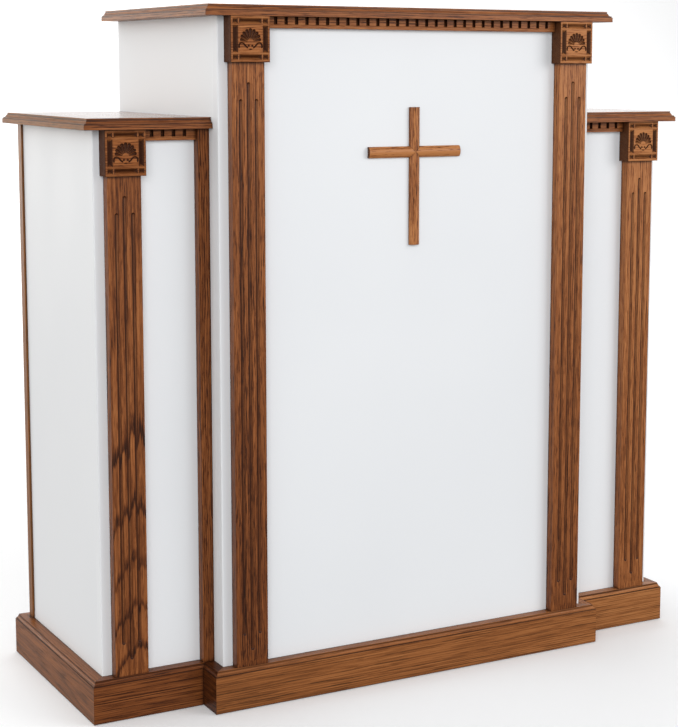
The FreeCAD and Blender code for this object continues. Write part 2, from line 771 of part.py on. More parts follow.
def carved_block(label, x, y, z):
    """A corner block framed by four grooves, with a pit in each corner and a shell inside."""
    blank = box(label + "_blank", 0, 0, 0, d.block_width, d.block_depth, d.block_height)
    rim, width = d.groove_margin, d.groove_width
    between = rim + width + d.groove_gap
    far_x = d.block_width - rim - width
    far_z = d.block_height - rim - width
    long_x = d.block_width - between * 2
    long_z = d.block_height - between * 2
    grooves = [
        hipped_tool(label + "_sill", between, rim, long_x, width),
        hipped_tool(label + "_head", between, far_z, long_x, width),
        hipped_tool(label + "_jamb_a", rim, between, width, long_z),
        hipped_tool(label + "_jamb_b", far_x, between, width, long_z),
    ]
    for number, (px, pz) in enumerate(((rim, rim), (far_x, rim), (rim, far_z), (far_x, far_z))):
        grooves.append(hipped_tool(f"{label}_pit_{number}", px, pz, width, width))
    return keep(label, place(cut(blank, grooves + ornament(label)), x, y, z))


def flute(body, name, x, foot, head):
    """A round-ended flute, turned about an axis just in front of the pilaster's face."""
    radius = d.flute_radius
    corners = [(x, foot), (x + radius, foot + radius), (x + radius, head - radius), (x, head)]
    arcs = {0: (radius, -1), 2: (radius, -1)}
    sketch = outline(body, name, "XZ_Plane", corners, arcs, offset=d.flute_standoff)
    doc.recompute()
    before = body.Shape.copy()
    groove = body.newObject("PartDesign::Groove", name + "_groove")
    groove.Profile = sketch
    groove.ReferenceAxis = (sketch, ["Edge4"])
    groove.Angle = 360
    doc.recompute()
    require_less(groove.Shape, before, name)
    return groove


def pilaster(label, x, y, head_z):
    """A pilaster with three flutes, the outer two shorter than the middle one."""
    body = new_body(label)
    half = d.pilaster_width / 2
    tall = head_z - d.ledge_height
    plan = block_outline(-half, 0, half, d.pilaster_depth)
    pad(body, outline(body, label + "_plan", "XY_Plane", plan), tall)
    flute(body, label + "_middle", Size(0, "0"), d.flute_foot, tall - d.flute_head)
    foot = d.flute_foot + d.flute_step
    head = tall - d.flute_head - d.flute_step
    flute(body, label + "_left", -d.flute_pitch, foot, head)
    flute(body, label + "_right", d.flute_pitch, foot, head)
    return keep(label, place(body, x, y, d.ledge_height))


def dentil(label, x, y, z, length, first_slot, slots):
    """A moulding with a row of square gaps cut down from its upper edge."""
    body = new_body(label)
    section = block_outline(0, 0, d.dentil_depth, d.dentil_height)
    pad(body, outline(body, label + "_section", "YZ_Plane", section), length)
    line = d.groove_line
    low = d.groove_line_up
    notch = outline(body, label + "_line", "YZ_Plane", block_outline(-line, low, line / 2, low + line))
    pocket(body, notch, length * 2, symmetric=True)
    left = first_slot - d.slot_width / 2
    floor = d.dentil_height - d.slot_height
    gap = block_outline(left, -1, left + d.slot_width, d.slot_depth)
    sketch = outline(body, label + "_slot", "XY_Plane", gap, offset=floor)
    slot = pocket(body, sketch, d.slot_height + 1, reverse=True)
    pattern = body.newObject("PartDesign::LinearPattern", label + "_row")
    pattern.Originals = [slot]
    pattern.Direction = (sketch, ["H_Axis"])
    pattern.Mode = "Spacing"
    bind(pattern, Offset=d.slot_pitch)
    pattern.Occurrences = slots
    body.Tip = pattern
    doc.recompute()
    require_less(pattern.Shape, slot.Shape, label)
    return keep(label, place(body, x, y, z))


def make_centre_trim():
    """Blocks, pilasters and dentil moulding on the centre's front."""
    block_low = CENTRE_TOP - d.block_height
    for side, word in SIDES:
        outer = CENTRE_HALF - d.block_inset
        x, width = span(side, outer - d.block_width, outer)
        carved_block(f"centre_block_{word}", x, FRONT - d.block_depth, block_low)
        middle = (outer - d.block_width / 2) * side
        pilaster(f"centre_pilaster_{word}", middle, FRONT - d.pilaster_depth, block_low)
    reach = CENTRE_HALF - d.block_inset - d.block_width
    first = reach - d.slot_pitch * (CENTRE_SLOTS - 1) / 2
    z = CENTRE_TOP - d.dentil_height
    dentil("centre_dentil", -reach, FRONT - d.dentil_depth, z, reach * 2, first, CENTRE_SLOTS)


def make_wing_trim(side, word):
    """Block, pilaster, dentil moulding and the two plain strips on a wing."""
    block_low = WING_TOP - d.block_height
    outer = WING_OUTER - d.block_inset
    inner = outer - d.block_width
    x, width = span(side, inner, outer)
    carved_block(f"{word}_wing_block", x, WING_FRONT - d.block_depth, block_low)
    middle = (outer - d.block_width / 2) * side
    pilaster(f"{word}_wing_pilaster", middle, WING_FRONT - d.pilaster_depth, block_low)
    strip_x, strip_width = span(side, CENTRE_HALF, CENTRE_HALF + d.strip_width)
    tall = WING_TOP - d.ledge_height
    y = WING_FRONT - d.strip_depth
    strip = box(f"{word}_strip", strip_x, y, d.ledge_height, strip_width, d.strip_depth, tall)
    keep(f"{word}_wing_strip", strip)
    stile_outer = WING_OUTER + d.stile_proud
    x, width = span(side, stile_outer - d.stile_width, stile_outer)
    stile = box(f"{word}_stile", x, WING_REAR - d.stile_depth, d.ledge_height, width, d.stile_depth, tall)
    keep(f"{word}_wing_rear_strip", stile)
    x, length = span(side, CENTRE_HALF + d.strip_width, inner)
    from_block = d.wing_slot_start
    last = length - from_block - d.slot_pitch * (WING_SLOTS - 1)
    first = from_block if side == LEFT else last
    z = WING_TOP - d.dentil_height
    dentil(f"{word}_wing_dentil", x, WING_FRONT - d.dentil_depth, z, length, first, WING_SLOTS)


# ---------------------------------------------------------------- cross


def bar_section(body, name, role, offset):
    """The domed section of a bar, flat against the panel at zero depth."""
    half = d.cross_width / 2
    rise = d.cross_crown - d.cross_edge
    radius = (half * half + rise * rise) / (rise * 2)
    edge = -d.cross_edge
    if role == "XY_Plane":
        corners = [(-half, 0), (half, 0), (half, edge), (-half, edge)]
        dome = (radius, 1)
    else:
        corners = [(0, -half), (0, half), (edge, half), (edge, -half)]
        dome = (radius, -1)
    return outline(body, name, role, corners, {2: dome}, offset)


def make_cross():
    """An upright with a notch on each side, and two arms whose points meet in its middle."""
    half = d.cross_width / 2
    web = d.cross_web / 2
    deep = d.cross_crown * 2
    upright = new_body("cross_upright")
    section = bar_section(upright, "upright_section", "XY_Plane", d.cross_foot)
    pad(upright, section, d.cross_top - d.cross_foot)
    level = d.cross_level
    for side, word in SIDES:
        point = (web * side, level)
        wide = half + 1
        notch = [point, (wide * side, level + wide - web), (wide * side, level - wide + web)]
        sketch = outline(upright, f"notch_{word}", "XZ_Plane", notch, offset=d.cross_lap)
        pocket(upright, sketch, deep, reverse=True)
    keep("cross_upright", place(upright, 0, FRONT, 0))
    for side, word in SIDES:
        arm = new_body(f"cross_arm_{word}")
        start = web if side == RIGHT else -(d.cross_span / 2)
        section = bar_section(arm, f"arm_section_{word}", "YZ_Plane", start)
        pad(arm, section, d.cross_span / 2 - web)
        reach = half + 1
        for way in (1, -1):
            inside, point = (web - 1) * side, web * side
            waste = [(inside, 0), (point, 0), ((web + reach) * side, reach * way), (inside, reach * way)]
            sketch = outline(arm, f"mitre_{word}_{way + 1}", "XZ_Plane", waste)
            pocket(arm, sketch, deep * 2, symmetric=True)
        lap = block_outline((web - 1) * side, -reach, half * side, reach)
        sketch = outline(arm, f"lap_{word}", "XZ_Plane", lap)
        pocket(arm, sketch, d.cross_lap, reverse=True)
        keep(f"cross_arm_{word}", place(arm, 0, FRONT, level))


# ---------------------------------------------------------------- desk and shelves


def sloped_box(name, x, along, above, across, deep, tall):
    """A board on the desk's slope, placed along the slope and above the desk's underside."""
    board = doc.addObject("Part::Box", name)
    bind(board, Length=across, Width=deep, Height=tall)
    board.Placement = Placement(Vector(), Rotation(Vector(-1, 0, 0), d.desk_slope.value))
    bind(board, Placement__Rotation__Angle=d.desk_slope)
    lean, fall = sine(d.desk_slope), cosine(d.desk_slope)
    y = DESK_Y + fall * along + lean * above
    z = DESK_Z - lean * along + fall * above
    return place(board, x, y, z)


def make_desk():
    """The sloping desk inside the centre top, its book stop and the cleats it rests on."""
    inside = CENTRE_INNER * 2
    left = -CENTRE_INNER
    zero = Size(0, "0")
    keep("reading_desk", sloped_box("desk", left, zero, zero, inside, d.desk_depth, d.panel))
    stop = sloped_box("stop", left, d.desk_depth, zero, inside, d.panel, d.stop_height)
    keep("book_stop", stop)
    for side, word in SIDES:
        x, width = span(side, CENTRE_INNER - d.cleat, CENTRE_INNER)
        cleat = sloped_box(
            f"cleat_{word}", x, d.cleat_start, -d.cleat, width, d.cleat_length, d.cleat
        )
        keep(f"desk_cleat_{word}", cleat)


def make_shelves():
    """One loose shelf in each of the three compartments."""
    y = FRONT + d.panel + d.shelf_front_gap
    wide = (CENTRE_INNER - d.shelf_gap) * 2
    deep = CENTRE_REAR - d.shelf_setback - y
    x = -(CENTRE_INNER - d.shelf_gap)
    keep("centre_shelf", box("shelf", x, y, d.centre_shelf_level, wide, deep, d.panel))
    for side, word in SIDES:
        y = WING_FRONT + d.panel + d.shelf_front_gap
        x, wide = span(side, CENTRE_HALF + d.shelf_gap, WING_INNER - d.shelf_gap)
        deep = WING_REAR - d.shelf_setback - y
        board = box(f"{word}_shelf", x, y, d.wing_shelf_level, wide, deep, d.panel)
        keep(f"{word}_wing_shelf", board)


# ---------------------------------------------------------------- hardware


def turned(name, radii):
    """A small turned piece on its own X axis, from (start, end, radius) stretches."""
    pieces = []
    for number, (start, end, radius) in enumerate(radii):
        pieces.append(
            bore(f"{name}_{number}", radius, end - start, start, 0, 0, (1, 0, 0))
        )
    fused = doc.addObject("Part::MultiFuse", name)
    fused.Shapes = pieces
    return fused


def group(label, pattern, places):
    """Identical fasteners as one group. Each place is X, Y, Z and the way the piece points."""
    copies = []
    for x, y, z, way in places:
        copy = pattern.Shape.copy()
        turn = Rotation(Vector(1, 0, 0), Vector(*way))
        copy.Placement = Placement(Vector(x.value, y.value, z.value), turn)
        copies.append(copy)
    feature = doc.addObject("Part::Feature", label + "_group")
    feature.Shape = Part.makeCompound(copies)
    return keep(label, feature)


def make_hardware():
    """Shelf pins, joining screws and floor glides."""
    zero = Size(0, "0")
    pin = turned(
        "pin",
        [
            (-d.pin_proud, d.pin_buried, d.pin_radius),
            (-d.pin_collar_thick, zero, d.pin_collar),
        ],
    )
    shank = turned(
        "screw_blank",
        [
            (zero, d.screw_length, d.screw_radius),
            (zero, d.screw_head_thick, d.screw_head_radius),
        ],
    )
    socket = doc.addObject("Part::Prism", "socket")
    socket.Polygon = 6
    bind(socket, Circumradius=d.socket_radius, Height=d.socket_depth)
    place(socket, zero, zero, zero, Rotation(Vector(0, 0, 1), Vector(1, 0, 0)))
    doc.recompute()
    screw = cut(shank, [socket])
    glide = turned(
        "glide",
        [
            (-d.panel_foot, zero, d.glide_radius),
            (zero, d.nail_length, d.nail_radius),
        ],
    )
    doc.recompute()
    pins, screws, glides = [], [], []
    centre_y = FRONT + d.panel
    wing_y = WING_FRONT + d.panel
    for side, word in SIDES:
        out, back = (side, 0, 0), (-side, 0, 0)
        for depth in (d.pin_near, d.pin_far):
            drop = d.pin_radius + d.pin_slack
            pins.append((CENTRE_INNER * side, centre_y + depth, d.centre_shelf_level - drop, out))
            wing_depth = wing_y - d.pin_offset + depth
            pins.append((CENTRE_HALF * side, wing_depth, d.wing_shelf_level - drop, back))
            pins.append((WING_INNER * side, wing_depth, d.wing_shelf_level - drop, out))
        for x, y, z, way in screw_places(side):
            screws.append((x, y, z, (way, 0, 0)))
        for middle, front_y in (
            ((CENTRE_INNER + CENTRE_HALF) / 2, centre_y),
            ((WING_INNER + WING_OUTER) / 2, wing_y),
        ):
            for reach in (d.glide_near, d.glide_far):
                glides.append((middle * side, front_y + reach, d.panel_foot, (0, 0, 1)))
    group("shelf_pins", pin, pins)
    group("joining_screws", screw, screws)
    group("floor_glides", glide, glides)


# ---------------------------------------------------------------- assembly and export


def check_document():
    """Stops if any object has failed or any sub-part isn't a valid solid."""
    failed = [o.Label for o in doc.Objects if {"Invalid", "Error"} & set(o.State)]
    if failed:
        raise RuntimeError(f"failed objects: {failed}")
    for label, part in parts.items():
        shape = part.Shape
        if shape.isNull() or not shape.isValid() or not shape.Solids:
            raise RuntimeError(f"{label} has no valid solid")


def export_parts():
    """Writes one STEP file for each sub-part."""
    for label, part in parts.items():
        part.Shape.exportStep(f"parts/{label}.step")
        size = part.Shape.BoundBox
        lengths = (f"{length:.1f}" for length in (size.XLength, size.YLength, size.ZLength))
        print(f"{label}: {len(part.Shape.Solids)} solid(s), {' x '.join(lengths)}")
    print(len(parts), "sub-parts")


make_centre_panels()
make_centre_top()
make_centre_base()
make_centre_trim()
make_cross()
make_desk()
make_shelves()
for side, word in SIDES:
    make_wing_panels(side, word)
    make_wing_top(side, word)
    make_wing_base(side, word)
    make_wing_trim(side, word)
make_hardware()
doc.recompute()
check_document()
export_parts()
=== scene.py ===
import math
from types import SimpleNamespace

import bpy
import numpy as np
from mathutils import Euler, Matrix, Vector


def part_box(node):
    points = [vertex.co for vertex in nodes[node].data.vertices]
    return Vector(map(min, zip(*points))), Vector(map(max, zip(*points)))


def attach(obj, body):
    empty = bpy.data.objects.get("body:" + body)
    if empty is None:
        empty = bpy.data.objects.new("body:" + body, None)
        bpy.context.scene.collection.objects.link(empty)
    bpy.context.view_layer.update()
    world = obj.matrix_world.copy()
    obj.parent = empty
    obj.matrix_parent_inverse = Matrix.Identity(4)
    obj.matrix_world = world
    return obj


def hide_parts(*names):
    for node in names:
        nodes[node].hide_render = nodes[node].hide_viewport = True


# The looks of a winged lectern stand: white satin panels, stained open-grain oak, steel and nylon
# hardware. The corner blocks and pilasters are rebuilt with finer carving; every other node keeps
# its shape and gets a material, most with eased arrises.

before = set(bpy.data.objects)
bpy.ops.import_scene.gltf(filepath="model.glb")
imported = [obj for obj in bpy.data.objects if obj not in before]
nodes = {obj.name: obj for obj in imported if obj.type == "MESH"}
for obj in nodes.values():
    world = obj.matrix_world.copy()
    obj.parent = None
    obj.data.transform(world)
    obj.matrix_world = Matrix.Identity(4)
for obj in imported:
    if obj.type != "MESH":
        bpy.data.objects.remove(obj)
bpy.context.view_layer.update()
MM = 0.001

# ------------------------------------------------------------------ node building


def feed(tree, socket, value):
    """Sets an input socket, or links it if the value is another node's output."""
    if isinstance(value, bpy.types.NodeSocket):
        tree.links.new(value, socket)
    else:
        socket.default_value = value


def node(tree, kind, inputs=None, **settings):
    """Adds a shader node and gives its outputs."""
    made = tree.nodes.new("ShaderNode" + kind)
    for name, value in settings.items():
        setattr(made, name, value)
    for name, value in (inputs or {}).items():
        feed(tree, made.inputs[name], value)
    return made.outputs


def calc(tree, operation, *values):
    """One step of arithmetic on numbers."""
    return node(tree, "Math", dict(enumerate(values)), operation=operation)[0]


def scaled(tree, vector, factors):
    """A vector times another, part by part."""
    return node(tree, "VectorMath", {0: vector, 1: factors}, operation="MULTIPLY")[0]


def noise(tree, vector, factors, detail=2.0, roughness=0.5, distortion=0.0):
    """Smooth noise in a stretched space, from 0 to 1."""
    inputs = {
        "Vector": scaled(tree, vector, factors),
        "Scale": 1.0,
        "Detail": detail,
        "Roughness": roughness,
        "Distortion": distortion,
    }
    return node(tree, "TexNoise", inputs)


def even_noise(tree, vector, scale, detail=2.0, roughness=0.5):
    """Smooth noise at the same scale in all directions."""
    return noise(tree, vector, (scale, scale, scale), detail, roughness)["Fac"]


def between(tree, value, low, high, to_low=0.0, to_high=1.0):
    """Maps a range of values smoothly to another range and clamps it."""
    inputs = {"Value": value, "From Min": low, "From Max": high, "To Min": to_low, "To Max": to_high}
    return node(tree, "MapRange", inputs, interpolation_type="SMOOTHSTEP")[0]


def blend(tree, factor, first, second):
    """Mixes two colours, which are a mix node's inputs 6 and 7 and its output 2."""
    inputs = {0: factor, 6: first, 7: second}
    return node(tree, "Mix", inputs, data_type="RGBA", blend_type="MIX")[2]


def ramp(tree, factor, stops):
    """A colour from a number, through stops of (place, colour)."""
    made = tree.nodes.new("ShaderNodeValToRGB")
    tree.links.new(factor, made.inputs[0])
    elements = made.color_ramp.elements
    while len(elements) < len(stops):
        elements.new(0.5)
    for element, (place, colour) in zip(elements, stops):
        element.position = place
        element.color = (*colour, 1.0)
    return made.outputs[0]


def bumped(tree, strength, depth, height):
    """A normal roughened by a height field, depth metres deep."""
    return node(tree, "Bump", {"Strength": strength, "Distance": depth, "Height": height})[0]


def new_material(name):
    """An empty material and its tree."""
    material = bpy.data.materials.new(name)
    material.use_nodes = True
    material.node_tree.nodes.clear()
    return material, material.node_tree


def finish_material(tree, inputs):
    """The shader and the output."""
    shader = node(tree, "BsdfPrincipled", inputs)
    node(tree, "OutputMaterial", {"Surface": shader[0]})


# ------------------------------------------------------------------ stained oak

OAK_STOPS = (
    (0.0, (0.022, 0.0065, 0.0026)),
    (0.25, (0.070, 0.0195, 0.0062)),
    (0.5, (0.168, 0.0490, 0.0130)),
    (0.75, (0.300, 0.0995, 0.0285)),
    (1.0, (0.470, 0.1870, 0.0620)),
)
# The colour of dark staining, as on end grain, which also serves as painted shade in crevices and small
# steps.
DARK_STAIN_AND_SHADE = (0.030, 0.0088, 0.0042, 1.0)
# The colour of red-brown staining, which also serves as painted shade in carving.
RED_STAIN_AND_SHADE = (0.040, 0.0112, 0.0046, 1.0)
# Painted reflection: the pale khaki sheen of a window's light on the varnish, mixed into the colour.
PAINTED_SHEEN_TINT = (0.350, 0.172, 0.055, 1.0)

# For each direction of the grain, the axes across the board, through it and along it.
GRAIN_ORDER = {"X": ("Z", "Y", "X"), "Y": ("Z", "X", "Y"), "Z": ("X", "Y", "Z")}

# The wood's noise fields: scale per mm across, through and along the board, then detail,
# roughness and distortion.
WOOD_NOISE = {
    "wander": ((0.012, 0.012, 0.0034), 2.0, 0.5),
    "teeth": ((0.34, 0.34, 0.014), 3.0, 0.62),
    "ripple": ((0.045, 0.045, 0.0075), 2.0, 0.5),
    "streak": ((0.19, 0.19, 0.0052), 3.0, 0.6),
    "fibre": ((0.5, 0.5, 0.02), 3.0, 0.66),
    "dash": ((0.42, 0.42, 0.035), 3.0, 0.66, 0.35),
    "fine": ((3.4, 3.4, 0.05), 3.0, 0.6),
    "pore": ((1.5, 1.5, 0.034), 2.0, 0.55, 0.25),
    "ray": ((1.3, 1.3, 0.16), 1.0, 0.4),
    "cloud": ((0.02, 0.02, 0.0032), 3.0, 0.55),
}

WANDER_SIDE = 16.0  # mm that the log's heart wanders sideways
WANDER_BACK = 18.0  # mm that it wanders behind the face
RIPPLE = 5.0  # mm of waviness in the rings
CALM_REACH = 120.0  # mm over which the rings fade
CALM_REST = 0.35  # what is left of them

MIDDLE_SHADE = 0.66  # a plain board's place on the colour ramp, and what the marks add to it
FIBRE_SHADE = 0.62
FINE_SHADE = 0.30
CLOUD_SHADE = 0.30
PORE_SHADE = -0.42
RAY_SHADE = -0.07

END_GRAIN_STAIN = 0.82
# How far the ambient occlusion looks, and how dark the painted shade and gathered staining get in
# crevices and small steps.
CREVICE_REACH = 0.007  # m
CREVICE_STAIN_AND_SHADE = 0.84
STEP_STAIN_AND_SHADE = 0.8
SIDE_POLISH = 0.03  # varnish on upright faces

# The usual board. The log's heart lies to one side of the board's middle and behind it: near, it
# gives flames, and far, straight lines.
FIGURE = {
    "heart": 90.0,  # mm from the board's middle sideways to the heart
    "depth": 40.0,  # mm from the board's middle back to the heart
    "slope": 0.008,  # how fast the heart moves away from the face along the board
    "bow": 0.0,  # how fast that slope changes, per mm
    "pitch": 3.8,  # ring width in mm
    "band": 0.6,  # how much of a ring is dark
    "flame": 0.26,  # how dark the rings are
    "even": 0.15,  # how alike the rings are
    "stray": 1.0,  # how much the heart wanders
    "jagged": 3.2,  # how rough the rings' edges are, in mm
    "calm": 2000.0,  # mm along the board where the rings fade
    "streaky": 0.12,  # strength of the long streaks
    "dashed": 0.44,  # strength of the short dashes
    "stretch": 1.0,  # lengthens both
    "tone": 0.0,  # makes the board lighter or darker
    "rise": 0.0,  # painted light: how much lighter the board gets per mm along it, towards its better lit end
    "veil": 0.0,  # painted sheen: how much of a pale khaki reflection is mixed into the colour
    "sheen": 0.2,  # how strong the gloss is
    "polish": SIDE_POLISH,  # how much varnish lies on the upper faces
    "carved": 0.0,  # how dark carved hollows get, with staining and painted shade
    "steps": (),  # mm above the board's middle where staining gathers and shade is painted in a moulding's small steps
}


def wood_noise(tree, board, name, output="Fac"):
    """One of the wood's noise fields."""
    return noise(tree, board, *WOOD_NOISE[name])[output]


def board_place(tree, grain, middle, seed, stretch):
    """The place in a board in mm from its middle, and board, the space of its noise fields."""
    place = node(tree, "TexCoord")["Object"]
    place = node(tree, "VectorMath", {0: place, 1: tuple(middle)}, operation="SUBTRACT")[0]
    parts = node(tree, "SeparateXYZ", {0: scaled(tree, place, (1 / MM, 1 / MM, 1 / MM))})
    across, through, along = (parts[axis] for axis in GRAIN_ORDER[grain])
    shift = ((seed * 137.31) % 400.0, (seed * 71.17) % 300.0, (seed * 211.9) % 900.0)
    stretched = {0: across, 1: through, 2: calc(tree, "DIVIDE", along, stretch)}
    board = node(tree, "CombineXYZ", stretched)[0]
    board = node(tree, "VectorMath", {0: board, 1: shift}, operation="ADD")[0]
    return SimpleNamespace(across=across, through=through, along=along, up=parts["Z"], board=board)


def early_wood(tree, place, figure, seed):
    """How much the dark early wood of the rings shows, from 0 to 1."""
    wander = node(tree, "SeparateXYZ", {0: wood_noise(tree, place.board, "wander", "Color")})
    swing = WANDER_SIDE * figure.stray
    side = calc(tree, "SUBTRACT", place.across, figure.heart + swing / 2)
    side = calc(tree, "MULTIPLY_ADD", wander[0], swing, side)
    swing = WANDER_BACK * figure.stray
    back = calc(tree, "ADD", place.through, figure.depth - swing / 2)
    back = calc(tree, "MULTIPLY_ADD", wander[1], swing, back)
    back = calc(tree, "MULTIPLY_ADD", place.along, figure.slope, back)
    back = calc(tree, "MULTIPLY_ADD", calc(tree, "MULTIPLY", place.along, place.along), figure.bow, back)
    radius = calc(tree, "MULTIPLY_ADD", side, side, calc(tree, "MULTIPLY", back, back))
    radius = calc(tree, "SQRT", radius)
    radius = calc(tree, "MULTIPLY_ADD", wood_noise(tree, place.board, "ripple"), RIPPLE, radius)
    radius = calc(tree, "MULTIPLY_ADD", wood_noise(tree, place.board, "teeth"), figure.jagged, radius)
    ring = calc(tree, "DIVIDE", radius, figure.pitch)
    year = node(tree, "CombineXYZ", {0: calc(tree, "FLOOR", ring), 1: seed * 1.7})[0]
    year = node(tree, "TexWhiteNoise", {"Vector": year})["Value"]
    phase = calc(tree, "FRACT", ring)
    starts = between(tree, phase, 0.0, 0.25 * figure.band)
    ends = between(tree, phase, 0.3 * figure.band, figure.band, 1.0, 0.0)
    early = calc(tree, "MULTIPLY", starts, ends)
    early = calc(tree, "MULTIPLY", early, between(tree, year, 0.0, 1.0, figure.even, 1.0))
    calm = figure.calm
    fade = between(tree, place.along, calm - CALM_REACH, calm + CALM_REACH, 1.0, CALM_REST)
    return calc(tree, "MULTIPLY", early, fade)


def wood_marks(tree, place, figure, seed):
    """Each kind of mark in the wood as a field from 0 to 1."""
    board = place.board
    early = early_wood(tree, place, figure, seed)
    dashes = between(tree, wood_noise(tree, board, "dash"), 0.5, 0.61)
    pores = between(tree, wood_noise(tree, board, "pore"), 0.54, 0.64)
    return SimpleNamespace(
        early=early,
        streak=between(tree, wood_noise(tree, board, "streak"), 0.36, 0.64),
        fibre=wood_noise(tree, board, "fibre"),
        dashes=calc(tree, "MULTIPLY", dashes, calc(tree, "MULTIPLY_ADD", early, 0.5, 0.5)),
        fine=wood_noise(tree, board, "fine"),
        pores=calc(tree, "MULTIPLY", pores, calc(tree, "MULTIPLY_ADD", early, 0.65, 0.35)),
        rays=between(tree, wood_noise(tree, board, "ray"), 0.66, 0.74),
        cloud=wood_noise(tree, board, "cloud"),
    )


def wood_shade(tree, place, marks, figure):
    """The place on the colour ramp: the board's tone with all its marks."""
    middle = MIDDLE_SHADE + 0.1 * figure.dashed + figure.tone
    # Painted light: rise makes the board lighter towards one end, as if more light fell there.
    shade = calc(tree, "MULTIPLY_ADD", place.along, figure.rise, middle)
    layers = (
        (marks.early, 0.0, -figure.flame),
        (marks.streak, 0.5, figure.streaky),
        (marks.fibre, 0.5, FIBRE_SHADE),
        (marks.dashes, 0.0, -figure.dashed),
        (marks.fine, 0.5, FINE_SHADE),
        (marks.cloud, 0.5, CLOUD_SHADE),
        (marks.pores, 0.0, PORE_SHADE),
        (marks.rays, 0.0, RAY_SHADE),
    )
    for field, level, weight in layers:
        if level:
            field = calc(tree, "SUBTRACT", field, level)
        shade = calc(tree, "MULTIPLY_ADD", field, weight, shade)
    return shade


def stain_and_shade_hollows(tree, colour, place, marks, figure):
    """Darker colour in crevices, in the small steps of mouldings and in carving: gathered staining with
    painted shade, partly from an ambient occlusion node.
    """
    # Painted shade: an ambient occlusion node darkens crevices, dentil slots and coves, along with the
    # staining that gathers there.
    open_share = node(tree, "AmbientOcclusion", {"Distance": CREVICE_REACH}, samples=8)["AO"]
    crevice = between(tree, open_share, 0.4, 0.99, CREVICE_STAIN_AND_SHADE, 0.0)
    colour = blend(tree, crevice, colour, DARK_STAIN_AND_SHADE)
    # Painted shade with gathered staining: a dark line along each small step of a moulding.
    for step in figure.steps:
        gap = calc(tree, "ABSOLUTE", calc(tree, "SUBTRACT", place.up, step))
        step_darkening = between(tree, gap, 0.5, 1.5, STEP_STAIN_AND_SHADE, 0.0)
        step_darkening = calc(tree, "MULTIPLY", step_darkening, between(tree, marks.streak, 0.0, 1.0, 1.0, 0.6))
        colour = blend(tree, step_darkening, colour, DARK_STAIN_AND_SHADE)
    if figure.carved:
        cut = node(tree, "Attribute", attribute_name="carve")["Fac"]
        # Carved hollows darken with staining, and with painted shade on downward slopes and flute walls.
        colour = blend(tree, between(tree, cut, 0.03, 0.75, 0.0, figure.carved), colour, RED_STAIN_AND_SHADE)
    return colour


def oak(name, grain, middle, seed, **changes):
    """Stained plain-sawn oak, whose rings are cut by the board's face.

    grain is the axis that the board runs along, middle its centre in metres, seed picks its own
    part of the noise fields, and the changes are to the usual figure.
    """
    figure = SimpleNamespace(**{**FIGURE, **changes})
    material, tree = new_material(name)
    place = board_place(tree, grain, middle, seed, figure.stretch)
    marks = wood_marks(tree, place, figure, seed)
    normal = node(tree, "SeparateXYZ", {0: node(tree, "NewGeometry")["Normal"]})
    ends = calc(tree, "ABSOLUTE", normal[grain])
    end_grain = between(tree, ends, 0.1, 0.62, 0.0, END_GRAIN_STAIN)

    colour = ramp(tree, wood_shade(tree, place, marks, figure), OAK_STOPS)
    # Painted sheen: a reflection of the window on the varnish, mixed into the colour.
    colour = blend(tree, figure.veil, colour, PAINTED_SHEEN_TINT)
    colour = blend(tree, end_grain, colour, DARK_STAIN_AND_SHADE)
    colour = stain_and_shade_hollows(tree, colour, place, marks, figure)

    rough = calc(tree, "MULTIPLY_ADD", marks.pores, 0.22, 0.34)
    rough = calc(tree, "MULTIPLY_ADD", calc(tree, "SUBTRACT", marks.fibre, 0.5), 0.16, rough)
    rough = calc(tree, "MULTIPLY_ADD", end_grain, 0.3, rough)
    varnish = figure.polish
    if figure.polish > SIDE_POLISH:
        varnish = between(tree, normal["Z"], 0.85, 0.99, SIDE_POLISH, figure.polish)
    height = calc(tree, "MULTIPLY", marks.early, -0.3)
    height = calc(tree, "MULTIPLY_ADD", marks.pores, -1.0, height)
    height = calc(tree, "MULTIPLY_ADD", marks.fine, 0.35, height)
    finish_material(
        tree,
        {
            "Base Color": colour,
            "Roughness": rough,
            "Normal": bumped(tree, 0.35, 0.12 * MM, height),
            "IOR": 1.45,
            "Specular IOR Level": figure.sheen,
            "Coat Weight": varnish,
            "Coat Roughness": 0.2,
            "Coat IOR": 1.6,
        },
    )
    return material


# ------------------------------------------------------------------ other materials

WHITE_STOPS = ((0.25, (0.800, 0.808, 0.820)), (0.75, (0.845, 0.850, 0.858)))
ZINC_STOPS = ((0.3, (0.50, 0.50, 0.49)), (0.7, (0.66, 0.66, 0.64)))
NYLON_STOPS = ((0.35, (0.085, 0.085, 0.088)), (0.7, (0.14, 0.14, 0.142)))
FLOOR_STOPS = ((0.3, (0.86, 0.86, 0.86)), (0.7, (0.88, 0.88, 0.88)))


def satin_white(name, seed):
    """White laminate on board: nearly flat, with the faint orange peel of the pressing."""
    material, tree = new_material(name)
    place = node(tree, "TexCoord")["Object"]
    place = node(tree, "VectorMath", {0: place, 1: (seed, seed * 0.7, 0.0)}, operation="ADD")[0]
    cloud = even_noise(tree, place, 2.2, 3.0)
    speck = even_noise(tree, place, 900.0, 2.0, 0.6)
    peel = even_noise(tree, place, 260.0)
    smear = noise(tree, place, (9.0, 9.0, 4.0), 4.0, 0.6)["Fac"]
    mottle = calc(tree, "MULTIPLY_ADD", speck, 0.25, calc(tree, "MULTIPLY", cloud, 0.75))
    finish_material(
        tree,
        {
            "Base Color": ramp(tree, mottle, WHITE_STOPS),
            "Roughness": between(tree, smear, 0.3, 0.7, 0.48, 0.54),
            "Normal": bumped(tree, 0.12, 0.08 * MM, peel),
            "IOR": 1.48,
            "Specular IOR Level": 0.25,
        },
    )
    return material


